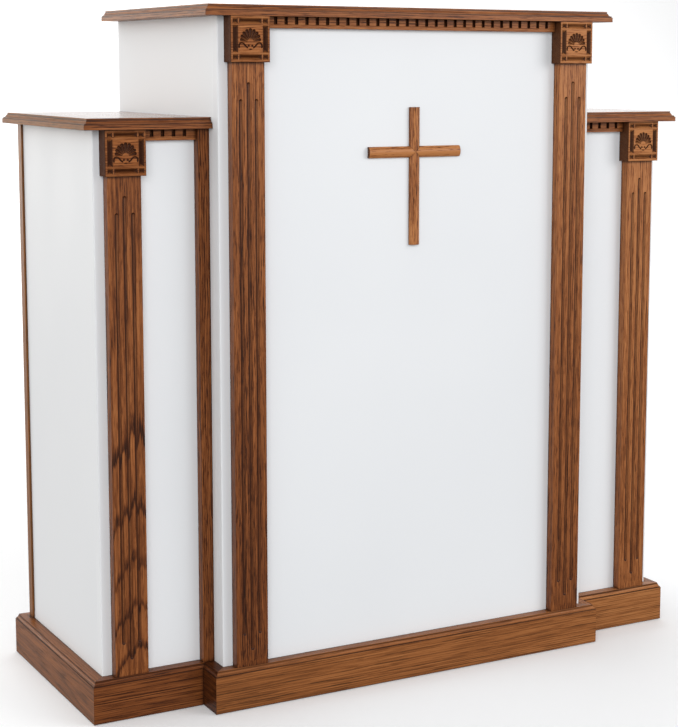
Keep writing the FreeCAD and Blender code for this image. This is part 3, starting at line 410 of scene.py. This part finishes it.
def zinc_steel(name):
    """Bright zinc plate with a faint crystal mottle and turning marks."""
    material, tree = new_material(name)
    place = node(tree, "TexCoord")["Object"]
    mottle = even_noise(tree, place, 700.0, 3.0, 0.6)
    turning = noise(tree, place, (2600.0, 300.0, 300.0))["Fac"]
    finish_material(
        tree,
        {
            "Base Color": ramp(tree, mottle, ZINC_STOPS),
            "Metallic": 1.0,
            "Roughness": between(tree, mottle, 0.3, 0.7, 0.24, 0.42),
            "Normal": bumped(tree, 0.25, 0.04 * MM, turning),
        },
    )
    return material


def grey_nylon(name):
    """Matt moulded nylon with a fine spark-eroded texture."""
    material, tree = new_material(name)
    place = node(tree, "TexCoord")["Object"]
    grit = even_noise(tree, place, 1500.0, 2.0, 0.6)
    scuff = even_noise(tree, place, 160.0, 4.0, 0.65)
    finish_material(
        tree,
        {
            "Base Color": ramp(tree, scuff, NYLON_STOPS),
            "Roughness": between(tree, scuff, 0.3, 0.7, 0.5, 0.66),
            "Normal": bumped(tree, 0.3, 0.05 * MM, grit),
        },
    )
    return material


def pale_floor(name):
    """A plain pale studio floor."""
    material, tree = new_material(name)
    cloud = even_noise(tree, node(tree, "TexCoord")["Object"], 0.6)
    finish_material(
        tree,
        {
            "Base Color": ramp(tree, cloud, FLOOR_STOPS),
            "Roughness": 0.7,
            "Specular IOR Level": 0.1,
            "Emission Color": (1.0, 1.0, 1.0, 1.0),
            "Emission Strength": 0.13,
        },
    )
    return material


# ------------------------------------------------------------------ meshes


def dress(thing, material):
    """Gives a thing one material."""
    thing.data.materials.clear()
    thing.data.materials.append(material)


def ease(thing, width):
    """Slightly rounded arrises, width mm wide, as a light sanding leaves."""
    weld = thing.modifiers.new("weld", "WELD")
    weld.merge_threshold = 0.005 * MM
    bevel = thing.modifiers.new("arris", "BEVEL")
    bevel.width = width * MM
    bevel.segments = 2
    bevel.limit_method = "ANGLE"
    bevel.angle_limit = math.radians(28)
    bevel.use_clamp_overlap = True
    bevel.miter_outer = "MITER_ARC"
    thing.modifiers.new("normals", "WEIGHTED_NORMAL")


def new_thing(name, points, faces):
    """A smooth-shaded mesh in the scene."""
    mesh = bpy.data.meshes.new(name)
    mesh.from_pydata(points, [], faces)
    mesh.update()
    mesh.shade_smooth()
    thing = bpy.data.objects.new(name, mesh)
    bpy.context.scene.collection.objects.link(thing)
    return thing


def grid_faces(rows, columns):
    """The four-sided faces of a grid of points."""
    starts = [r * columns + c for r in range(rows - 1) for c in range(columns - 1)]
    return [(a, a + 1, a + columns + 1, a + columns) for a in starts]


def grid_rim(rows, columns):
    """The points round the edge of a grid, in order."""
    rim = list(range(columns))
    rim += [r * columns + columns - 1 for r in range(1, rows)]
    rim += [(rows - 1) * columns + c for c in range(columns - 2, -1, -1)]
    rim += [r * columns for r in range(rows - 2, 0, -1)]
    return rim


WALL_LOOPS = (0.12, 0.5, 1.0)  # where the loops round a carved board's sides lie, front to back


def relief(name, low, high, across, up, depth_at):
    """A board from low to high whose front face, towards -Y, is carved.

    across and up are the grid's lines in metres from the board's middle and foot. depth_at gives
    how far each of those points lies behind the face, and a 0 to 1 darkening in the hollows, partly
    painted shade.
    """
    middle = (low[0] + high[0]) / 2
    u, v = np.meshgrid(across, up)
    depth, darkening = depth_at(u, v)
    front = np.stack((u + middle, low[1] + depth, v + low[2]), -1).reshape(-1, 3)
    faces = grid_faces(*u.shape)
    rim = grid_rim(*u.shape)
    count = len(rim)
    walls = []
    loops = [rim]
    for share in WALL_LOOPS:
        wall = front[rim].copy()
        wall[:, 1] += (high[1] - wall[:, 1]) * share
        start = len(front) + len(walls) * count
        walls.append(wall)
        loops.append(list(range(start, start + count)))
    for outer, inner in zip(loops, loops[1:]):
        for i in range(count):
            j = (i + 1) % count
            faces.append((outer[j], outer[i], inner[i], inner[j]))
    faces.append(tuple(loops[-1]))
    points = np.concatenate([front] + walls)
    thing = new_thing(name, points.tolist(), faces)
    thing.data.set_sharp_from_angle(angle=math.radians(50))
    attribute = thing.data.attributes.new("carve", "FLOAT", "POINT")
    values = np.zeros(len(points), np.float32)
    values[: len(front)] = darkening.reshape(-1)
    attribute.data.foreach_set("value", values)
    return thing


def arris(u, v, half_wide, tall, radius):
    """How far the rounded rim of a board's face falls back."""
    near = np.minimum(half_wide - np.abs(u), np.minimum(v, tall - v))
    fall = np.clip(1 - near / radius, 0, 1)
    return radius * (1 - np.sqrt(np.clip(1 - fall * fall, 0, 1)))


def grid_lines(low, high, marks, coarse, fine, reach):
    """Lines from low to high, close together within reach of each mark."""
    lines = {round(low, 7), round(high, 7)}
    for start, end in marks:
        a, b = max(low, start - reach), min(high, end + reach)
        count = max(2, int(math.ceil((b - a) / fine)) + 1)
        lines.update(round(x, 7) for x in np.linspace(a, b, count))
    ordered = sorted(lines)
    filled = []
    for a, b in zip(ordered, ordered[1:]):
        steps = max(1, int(math.ceil((b - a) / coarse)))
        filled.extend(a + (b - a) * k / steps for k in range(steps))
    filled.append(ordered[-1])
    return np.array(filled)


# ------------------------------------------------------------------ carved corner blocks

# All in mm. The frame: a plain rim, then V-grooves with pyramid pits in the corners.
RIM = 3.6
GROOVE = 9.0
GROOVE_DEEP = 4.3
RIDGE = 2.2

# The shell: ribs round a hub, which lies this far above the block's middle.
SHELL_HUB = -5.7
RIBS = 9
RIB_TURN = 18.5  # degrees between two ribs
RIB_START = 6.6
RIB_REACH = 22.8
RIB_DROOP = 3.6  # how much shorter the outermost ribs are
RIB_NARROW = 0.9  # half widths of a rib's two ends
RIB_WIDE = 2.9
RIB_SHALLOW = 0.9  # depth of the narrow end, and how much deeper the wide end is
RIB_DEEPER = 1.7

# The scroll's left half, from its crook to the middle, and the small cuts between the halves as
# place, half width and half height. All are from the hub.
SCROLL = (
    (-19.9, -7.6),
    (-20.0, -4.4),
    (-18.2, -1.4),
    (-15.0, -0.6),
    (-11.8, -2.0),
    (-8.8, -5.4),
    (-5.6, -8.0),
)
SCROLL_HALF = 1.35
SCROLL_DEEP = 1.7
SMALL_CUTS = ((3.2, -5.2, 1.9, 2.0), (0.0, -10.6, 3.4, 1.2))
SMALL_DEEP = 1.5
DISH_DEEP = 0.25  # the shell's ground is slightly dished
BLOCK_ARRIS = 0.8
BLOCK_GRID = 0.42


def trough(du, dv, half_long, half_wide):
    """Depth share of a V-groove with hipped ends, or of a pyramid if it's square."""
    return np.clip(np.minimum(1 - np.abs(dv) / half_wide, (half_long - np.abs(du)) / half_wide), 0, 1)


def smooth_path(points, steps=6):
    """Points along a Catmull-Rom curve that passes through the given ones."""
    points = [np.array(p, float) for p in (points[0], *points, points[-1])]
    path = []
    for a, b, c, e in zip(points, points[1:], points[2:], points[3:]):
        for s in (k / steps for k in range(steps)):
            square = (2 * a - 5 * b + 4 * c - e) * s * s
            cube = (3 * b - a - 3 * c + e) * s**3
            path.append(0.5 * ((2 * b) + (c - a) * s + square + cube))
    path.append(points[-1])
    return path


def distance_to_path(u, v, path):
    """Each point's distance to a chain of short segments."""
    nearest = np.full(u.shape, 1e9)
    for start, end in zip(path, path[1:]):
        chord = end - start
        share = ((u - start[0]) * chord[0] + (v - start[1]) * chord[1]) / max(chord @ chord, 1e-9)
        share = np.clip(share, 0, 1)
        gap = np.hypot(u - start[0] - share * chord[0], v - start[1] - share * chord[1])
        nearest = np.minimum(nearest, gap)
    return nearest


def frame_cut(x, z, half_x, half_z):
    """Depth and darkening of a block's frame of grooves, with painted shade on the grooves' upper
    slopes.
    """
    half = GROOVE / 2
    line_x, line_z = half_x - RIM - half, half_z - RIM - half
    long_x = half_x - RIM - GROOVE - RIDGE
    long_z = half_z - RIM - GROOVE - RIDGE
    ax, az = np.abs(x), np.abs(z)
    cut = np.maximum(trough(x, az - line_z, long_x, half), trough(z, ax - line_x, long_z, half))
    cut = np.maximum(cut, trough(ax - line_x, az - line_z, half, half))
    border = np.clip((np.maximum(ax, az) - long_x) / 0.8, 0, 1)
    darkening = np.clip(cut * 1.3, 0, 1) * 0.2 + border * 0.27
    # Painted shade: the upper slope of each level groove faces down and is darkened as if in shadow.
    shaded_upper_side = np.clip((az - line_z) * np.sign(z) / half * 3 + 0.6, 0, 1) * (ax < long_x)
    darkening = darkening + shaded_upper_side * np.clip(cut * 2.5, 0, 1) * 0.3
    return cut * GROOVE_DEEP, darkening


def rib_cut(x, z, turn):
    """Depth and darkening of one rib, a drop-shaped hollow that widens outwards from the hub."""
    outermost = math.radians((RIBS - 1) / 2 * RIB_TURN)
    reach = RIB_REACH - RIB_DROOP * (abs(turn) / outermost) ** 1.6
    along = x * math.sin(turn) + z * math.cos(turn)
    aside = np.abs(x * math.cos(turn) - z * math.sin(turn))
    grow = np.clip((along - RIB_START) / (reach - RIB_WIDE - RIB_START), 0, 1)
    width = RIB_NARROW + (RIB_WIDE - RIB_NARROW) * grow
    inside = np.clip(along, RIB_START, reach - RIB_WIDE)
    share = np.hypot(along - inside, aside) / width
    hollow = np.clip(1 - share * share, 0, 1) * (RIB_SHALLOW + RIB_DEEPER * grow)
    return hollow, np.clip(hollow / 1.5, 0, 1) * (0.55 + 0.45 * grow)


def scroll_cut(x, z):
    """Depth and darkening of the scroll under the shell."""
    gap = distance_to_path(-np.abs(x), z, smooth_path(SCROLL))
    line = np.clip(1 - (gap / SCROLL_HALF) ** 2, 0, 1) * SCROLL_DEEP
    for cut_x, cut_z, half_x, half_z in SMALL_CUTS:
        share = np.hypot((np.abs(x) - cut_x) / half_x, (z - cut_z) / half_z)
        line = np.maximum(line, np.clip(1 - share * share, 0, 1) * SMALL_DEEP)
    return line, np.clip(line / 1.2, 0, 1)


def block_depth(wide, tall):
    """The carving of one block, as a function of the place on its face."""

    def depth_at(u, v):
        x, z = u / MM, v / MM - tall / 2
        depth, darkening = frame_cut(x, z, wide / 2, tall / 2)
        z = z - SHELL_HUB
        turns = [math.radians((rib - (RIBS - 1) / 2) * RIB_TURN) for rib in range(RIBS)]
        for more, dark in [rib_cut(x, z, turn) for turn in turns] + [scroll_cut(x, z)]:
            depth = np.maximum(depth, more)
            darkening = np.maximum(darkening, dark)
        dish = np.clip(z / 26, 0, 1) * np.clip(1 - np.hypot(x, z - 6) / 17, 0, 1)
        depth = (depth + dish * DISH_DEEP) * MM
        return depth + arris(u, v, wide / 2 * MM, tall * MM, BLOCK_ARRIS * MM), darkening

    return depth_at


def carve_block(name):
    """A corner block with its frame of grooves, shell and scroll."""
    low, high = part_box(name)
    wide, tall = (high.x - low.x) / MM, (high.z - low.z) / MM
    fine = BLOCK_GRID * MM
    across = np.linspace(-wide / 2 * MM, wide / 2 * MM, int(wide * MM / fine) + 1)
    up = np.linspace(0, tall * MM, int(tall * MM / fine) + 1)
    return relief(name + "_carved", low, high, across, up, block_depth(wide, tall))


# ------------------------------------------------------------------ fluted pilasters

# All in mm. A flute is a round cut whose centre line stands off the face.
FLUTE_RADIUS = 3.3
FLUTE_STANDOFF = 0.8
FLUTES = ((0.0, 27.0, 32.0), (-14.0, 54.0, 59.0), (14.0, 54.0, 59.0))  # middle, gaps at foot and head
FLUTE_END = 4.0
LIP_DEEP = 0.22  # how far a flute's lip is worn down
PILASTER_ARRIS = 0.9
GRID_ACROSS = (2.4, 0.36, 0.5)  # coarse and fine spacing, and how far past a mark the fine lines go
GRID_UP = (14.0, 0.4, 0.8)
NO_HEAD = 1e3  # m, so far away that the head, which lies under a block, isn't rounded


def pilaster_depth(wide, tall):
    """The flutes of one pilaster, as a function of the place on its face."""

    def depth_at(u, v):
        x, z = u / MM, v / MM
        depth = np.zeros(x.shape)
        darkening = np.zeros(x.shape)
        for middle, foot, head in FLUTES:
            inside = np.clip(z, foot + FLUTE_RADIUS, tall - head - FLUTE_RADIUS)
            gap = np.hypot(x - middle, z - inside)
            cut = np.sqrt(np.clip(FLUTE_RADIUS**2 - gap**2, 0, None)) - FLUTE_STANDOFF
            lip = np.clip(LIP_DEEP - (gap - FLUTE_RADIUS * 0.97) * 0.5, 0, LIP_DEEP)
            depth = np.maximum(depth, np.maximum(cut, lip * (gap < FLUTE_RADIUS + 0.5)))
            # Painted shade: each flute's left wall is darkened more than its right, as if in shadow.
            shaded_left_wall = np.clip(0.35 - 1.5 * (x - middle) / FLUTE_RADIUS, 0, 1)
            darkening = np.maximum(darkening, np.clip(cut / 0.7, 0, 1) * (0.16 + 0.84 * shaded_left_wall))
        return depth * MM + arris(u, v, wide / 2 * MM, NO_HEAD, PILASTER_ARRIS * MM), darkening

    return depth_at


def flute_pilaster(name):
    """A pilaster whose flutes have rounded ends and softened lips."""
    low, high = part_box(name)
    wide, tall = (high.x - low.x) / MM, (high.z - low.z) / MM
    rim = wide / 2 * MM
    marks = [((m - FLUTE_RADIUS) * MM, (m + FLUTE_RADIUS) * MM) for m, _, _ in FLUTES]
    marks += [(-rim, -rim + PILASTER_ARRIS * MM), (rim - PILASTER_ARRIS * MM, rim)]
    across = grid_lines(-rim, rim, marks, *(size * MM for size in GRID_ACROSS))
    ends = []
    for _, foot, head in FLUTES[:2]:
        ends.append((foot * MM, (foot + FLUTE_END) * MM))
        ends.append(((tall - head - FLUTE_END) * MM, (tall - head) * MM))
    up = grid_lines(0, tall * MM, ends, *(size * MM for size in GRID_UP))
    return relief(name + "_fluted", low, high, across, up, pilaster_depth(wide, tall))


# ------------------------------------------------------------------ the object's pieces

MOULDED = 0.25  # mm of easing on a moulding, so that its small steps stay
BASE_STEPS = (8.3, 1.7)  # mm below a moulding's upper face, where staining gathers and shade is painted in a small step
TOP_STEPS = (9.5, 2.9)


def middle_of(name):
    """The centre of a node's box."""
    low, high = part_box(name)
    return (low + high) / 2


def stand_for(thing, name, material):
    """Shows a new piece in place of a CAD node."""
    dress(thing, material)
    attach(thing, "cabinet")
    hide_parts(name)


def small_steps(name):
    """The heights of a moulding's small steps, in mm from its middle."""
    below_top = ()
    if "_base_" in name:
        below_top = BASE_STEPS
    elif "_top_" in name and "panel" not in name:
        below_top = TOP_STEPS
    low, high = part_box(name)
    return [(high.z - low.z) / 2 / MM - step for step in below_top]


def oak_node(name, grain, seed, width=0.6, **figure):
    """Keeps a CAD node's shape, with arrises eased by width mm and its own cut of oak."""
    figure["steps"] = small_steps(name)
    dress(nodes[name], oak("oak_" + name, grain, middle_of(name), seed, **figure))
    ease(nodes[name], width)


# The left wing's board is the showy one: flat-sawn, with dark peaks in its lower half.
PILASTERS = {
    "left_wing_pilaster": dict(
        heart=8.0, depth=150.0, slope=0.08, bow=-0.00014, pitch=12.0, tone=-0.03, flame=0.46,
        band=0.3, even=0.5, stray=0.7, dashed=0.34, jagged=5.0, streaky=0.26, calm=110.0,
        rise=0.00006,
    ),
    "centre_pilaster_left": dict(
        heart=-95.0, depth=60.0, pitch=3.4, tone=-0.04, flame=0.28, dashed=0.48, rise=0.0003,
    ),
    "centre_pilaster_right": dict(
        heart=80.0, depth=50.0, pitch=4.0, tone=0.08, flame=0.2, dashed=0.46, rise=0.00034,
    ),
    "right_wing_pilaster": dict(
        heart=-70.0, depth=45.0, pitch=4.2, tone=0.17, flame=0.18, dashed=0.4, rise=0.00018,
    ),
}
# Each pilaster's rise paints light on it: lighter towards its head, where more light falls from above.
for number, (name, figure) in enumerate(PILASTERS.items()):
    material = oak("oak_" + name, "Z", middle_of(name), 3.0 + number, carved=0.92, **figure)
    stand_for(flute_pilaster(name), name, material)

BLOCK = dict(heart=60.0, depth=40.0, slope=0.03, pitch=3.6, flame=0.2, dashed=0.36, sheen=0.1)
BLOCKS = {
    "left_wing_block": dict(tone=0.11, carved=0.82),
    "centre_block_left": dict(tone=0.15, carved=0.78),
    "centre_block_right": dict(tone=0.32, carved=0.36),
    "right_wing_block": dict(tone=0.3, carved=0.36),
}
for number, (name, figure) in enumerate(BLOCKS.items()):
    material = oak("oak_" + name, "X", middle_of(name), 11.0 + number, **BLOCK, **figure)
    stand_for(carve_block(name), name, material)

CROSS = dict(heart=50.0, streaky=0.3, stretch=0.6)
FRONT_BASE = dict(sheen=0.15, streaky=0.08)

oak_node("centre_top_front", "X", 21.0, MOULDED, tone=0.06, stretch=1.5, rise=0.00012, polish=0.2)
oak_node(
    "centre_top_left", "Y", 22.0, MOULDED,
    tone=0.1, stretch=1.5, veil=0.16, sheen=0.13, polish=0.2,
)
oak_node("centre_top_right", "Y", 23.0, MOULDED, polish=0.2)
oak_node("centre_dentil", "X", 24.0, MOULDED, tone=0.13, sheen=0.13)
oak_node(
    "centre_base_front", "X", 25.0, MOULDED,
    heart=60.0, depth=34.0, slope=0.012, pitch=3.6, stray=0.4, tone=0.05, rise=0.00026,
    dashed=0.42, stretch=2.6, veil=0.1, **FRONT_BASE,
)
oak_node("centre_base_left", "Y", 26.0, MOULDED, sheen=0.05, tone=-0.36, flame=0.14, dashed=0.2)
oak_node("centre_base_right", "Y", 27.0, MOULDED, sheen=0.05, tone=0.24)
oak_node("cross_upright", "Z", 28.0, 0.7, tone=0.21, **CROSS)
oak_node("cross_arm_left", "X", 29.0, 0.7, tone=0.46, **CROSS)
oak_node("cross_arm_right", "X", 30.5, 0.7, tone=0.46, **CROSS)
oak_node("reading_desk", "X", 31.0, heart=20.0, depth=90.0, slope=0.03, pitch=4.5, tone=0.04)
oak_node("book_stop", "X", 32.0, 1.2)

GLOSS = 0.92  # varnish on the wing tops
for number, side in enumerate(("left", "right")):
    seed = 40.0 + 20.0 * number
    lift = 0.03 * number  # the right wing's boards are paler, and its base front has more painted sheen
    wing = side + "_wing_"
    oak_node("desk_cleat_" + side, "Y", seed)
    oak_node(
        wing + "top_panel", "X", seed + 1, 0.3,
        heart=20.0, depth=70.0, slope=0.03, pitch=4.2, veil=0.15, polish=GLOSS,
    )
    oak_node(
        wing + "top_front", "X", seed + 2, MOULDED,
        tone=lift * 6 - 0.07, stretch=1.5, polish=GLOSS,
    )
    oak_node(
        wing + "top_side", "Y", seed + 3, MOULDED,
        tone=-0.06, veil=0.35, sheen=0.035, polish=GLOSS,
    )
    oak_node(wing + "top_rear", "X", seed + 4, MOULDED, polish=GLOSS)
    oak_node(wing + "strip", "Z", seed + 5, tone=lift - 0.07, sheen=0.12)
    oak_node(wing + "rear_strip", "Z", seed + 6, veil=0.3, sheen=0.12)
    oak_node(wing + "dentil", "X", seed + 7, MOULDED, tone=lift + 0.06, sheen=0.14)
    oak_node(
        wing + "base_front", "X", seed + 8, MOULDED,
        heart=70.0, pitch=3.2, stray=0.5, tone=lift * 11.5 - 0.14, dashed=0.42 - lift * 2,
        stretch=2.4, veil=lift * 4.5, **FRONT_BASE,
    )
    oak_node(
        wing + "base_side", "Y", seed + 9, MOULDED,
        heart=-6.0, depth=60.0, slope=0.03, pitch=5.0, flame=0.14, tone=-0.1, dashed=0.12,
        stretch=1.6, veil=0.12, sheen=0.1,
    )
    oak_node(wing + "base_rear", "X", seed + 10, MOULDED)

white_names = [n for n in nodes if n.endswith("shelf") or (n.endswith("_panel") and "top" not in n)]
white_names.append("centre_toe_rail")
whites = [satin_white(f"satin_white_{k}", 0.37 * k) for k in range(3)]
for number, name in enumerate(sorted(white_names)):
    dress(nodes[name], whites[number % len(whites)])
    if name.endswith("shelf") or "floor" in name or "rail" in name:
        ease(nodes[name], 0.5)

HARDWARE = (
    ("shelf_pins", zinc_steel("zinc_steel_pins"), 0.25),
    ("joining_screws", zinc_steel("zinc_steel_screws"), 0.25),
    ("floor_glides", grey_nylon("grey_nylon"), 0.4),
)
for name, material, width in HARDWARE:
    dress(nodes[name], material)
    ease(nodes[name], width)

# ------------------------------------------------------------------ stage, light and camera

# All in metres.
FLOOR_HALF = 14.0
FLOOR_FRONT = -9.0
BEND_START = 6.0
BEND_RADIUS = 3.0
BEND_STEPS = 12
BACKDROP_TOP = 9.0

AIM = (0.0, 0.0, 0.7)
LAMPS = (  # name, place, aim, size, watts and colour
    ("key_left", (-2.3, -4.2, 2.1), AIM, (3.0, 2.2), 98.0, (0.95, 0.975, 1.0)),
    ("key_right", (3.2, -3.7, 2.1), AIM, (3.0, 2.2), 91.0, (0.98, 0.99, 1.0)),
    ("left", (-4.4, -0.5, 1.5), AIM, (2.6, 2.4), 7.5, (1.0, 0.87, 0.68)),
    ("window", (-2.6, 5.2, 1.3), (0.0, 0.0, 0.8), (3.0, 2.2), 38.0, (1.0, 0.95, 0.86)),
    ("backdrop", (0.0, 4.6, 6.5), (0.0, 8.6, 2.0), (10.0, 2.0), 700.0, (1.0, 1.0, 1.0)),
)

CAMERA_PLACE = (-1.4984, -2.7856, 1.0680)
LENS = 86.0  # mm, on a 36 mm sensor
SHIFT = (-0.0593, -0.0912)
LOOK_DOWN = 7.52  # degrees
LOOK_RIGHT = 29.17
ROLL = 0.14


def sweep_floor():
    """A pale floor that curves up into a backdrop far behind the object."""
    across = np.linspace(-FLOOR_HALF, FLOOR_HALF, 15)
    profile = [(FLOOR_FRONT, 0.0), (0.0, 0.0), (BEND_START, 0.0)]
    for k in range(1, BEND_STEPS + 1):
        turn = math.radians(90 * k / BEND_STEPS)
        rise = BEND_RADIUS * (1 - math.cos(turn))
        profile.append((BEND_START + BEND_RADIUS * math.sin(turn), rise))
    profile.append((BEND_START + BEND_RADIUS, BACKDROP_TOP))
    points = [(x, y, z) for y, z in profile for x in across]
    thing = new_thing("studio_floor", points, grid_faces(len(profile), len(across)))
    dress(thing, pale_floor("pale_floor"))
    thing.visible_diffuse = False
    thing.visible_glossy = False


def soft_light(name, place, aim, size, power, colour):
    """A large soft lamp turned towards a point."""
    data = bpy.data.lights.new(name, "AREA")
    data.shape = "RECTANGLE"
    data.size, data.size_y = size
    data.energy = power
    data.color = colour
    lamp = bpy.data.objects.new(name, data)
    lamp.location = place
    lamp.rotation_euler = (Vector(aim) - Vector(place)).to_track_quat("-Z", "Y").to_euler()
    bpy.context.scene.collection.objects.link(lamp)


def set_world():
    """Soft light from all round: bright behind and overhead, dimmer in front and below."""
    world = bpy.data.worlds.new("studio")
    world.use_nodes = True
    tree = world.node_tree
    tree.nodes.clear()
    way = node(tree, "SeparateXYZ", {0: node(tree, "TexCoord")["Generated"]})
    horizon = between(tree, way["Y"], -0.35, 0.75, 0.66, 1.3)
    horizon = calc(tree, "ADD", horizon, between(tree, way["X"], 0.0, -0.9, 0.0, 0.12))
    level = calc(tree, "MULTIPLY", horizon, between(tree, way["Z"], -0.45, 0.0, 0.3, 1.0))
    level = calc(tree, "MULTIPLY", level, between(tree, way["Z"], 0.25, 0.75, 1.0, 0.6))
    background = node(tree, "Background", {"Color": (0.987, 0.992, 1.0, 1.0), "Strength": level})
    node(tree, "OutputWorld", {"Surface": background[0]})
    bpy.context.scene.world = world


def set_camera():
    """A long lens a little below the top of the centre cabinet, well to its left."""
    data = bpy.data.cameras.new("camera")
    data.sensor_width = 36.0
    data.lens = LENS
    data.shift_x, data.shift_y = SHIFT
    data.clip_end = 60.0
    camera = bpy.data.objects.new("camera", data)
    camera.location = CAMERA_PLACE
    turn = Euler((math.radians(90 - LOOK_DOWN), 0.0, math.radians(-LOOK_RIGHT)), "XYZ").to_matrix()
    roll = Euler((0.0, 0.0, math.radians(ROLL)), "XYZ").to_matrix()
    camera.rotation_euler = (turn @ roll).to_euler()
    bpy.context.scene.collection.objects.link(camera)
    bpy.context.scene.camera = camera


sweep_floor()
set_world()
for lamp in LAMPS:
    soft_light(*lamp)
set_camera()
bpy.context.scene.view_settings.view_transform = "Standard"
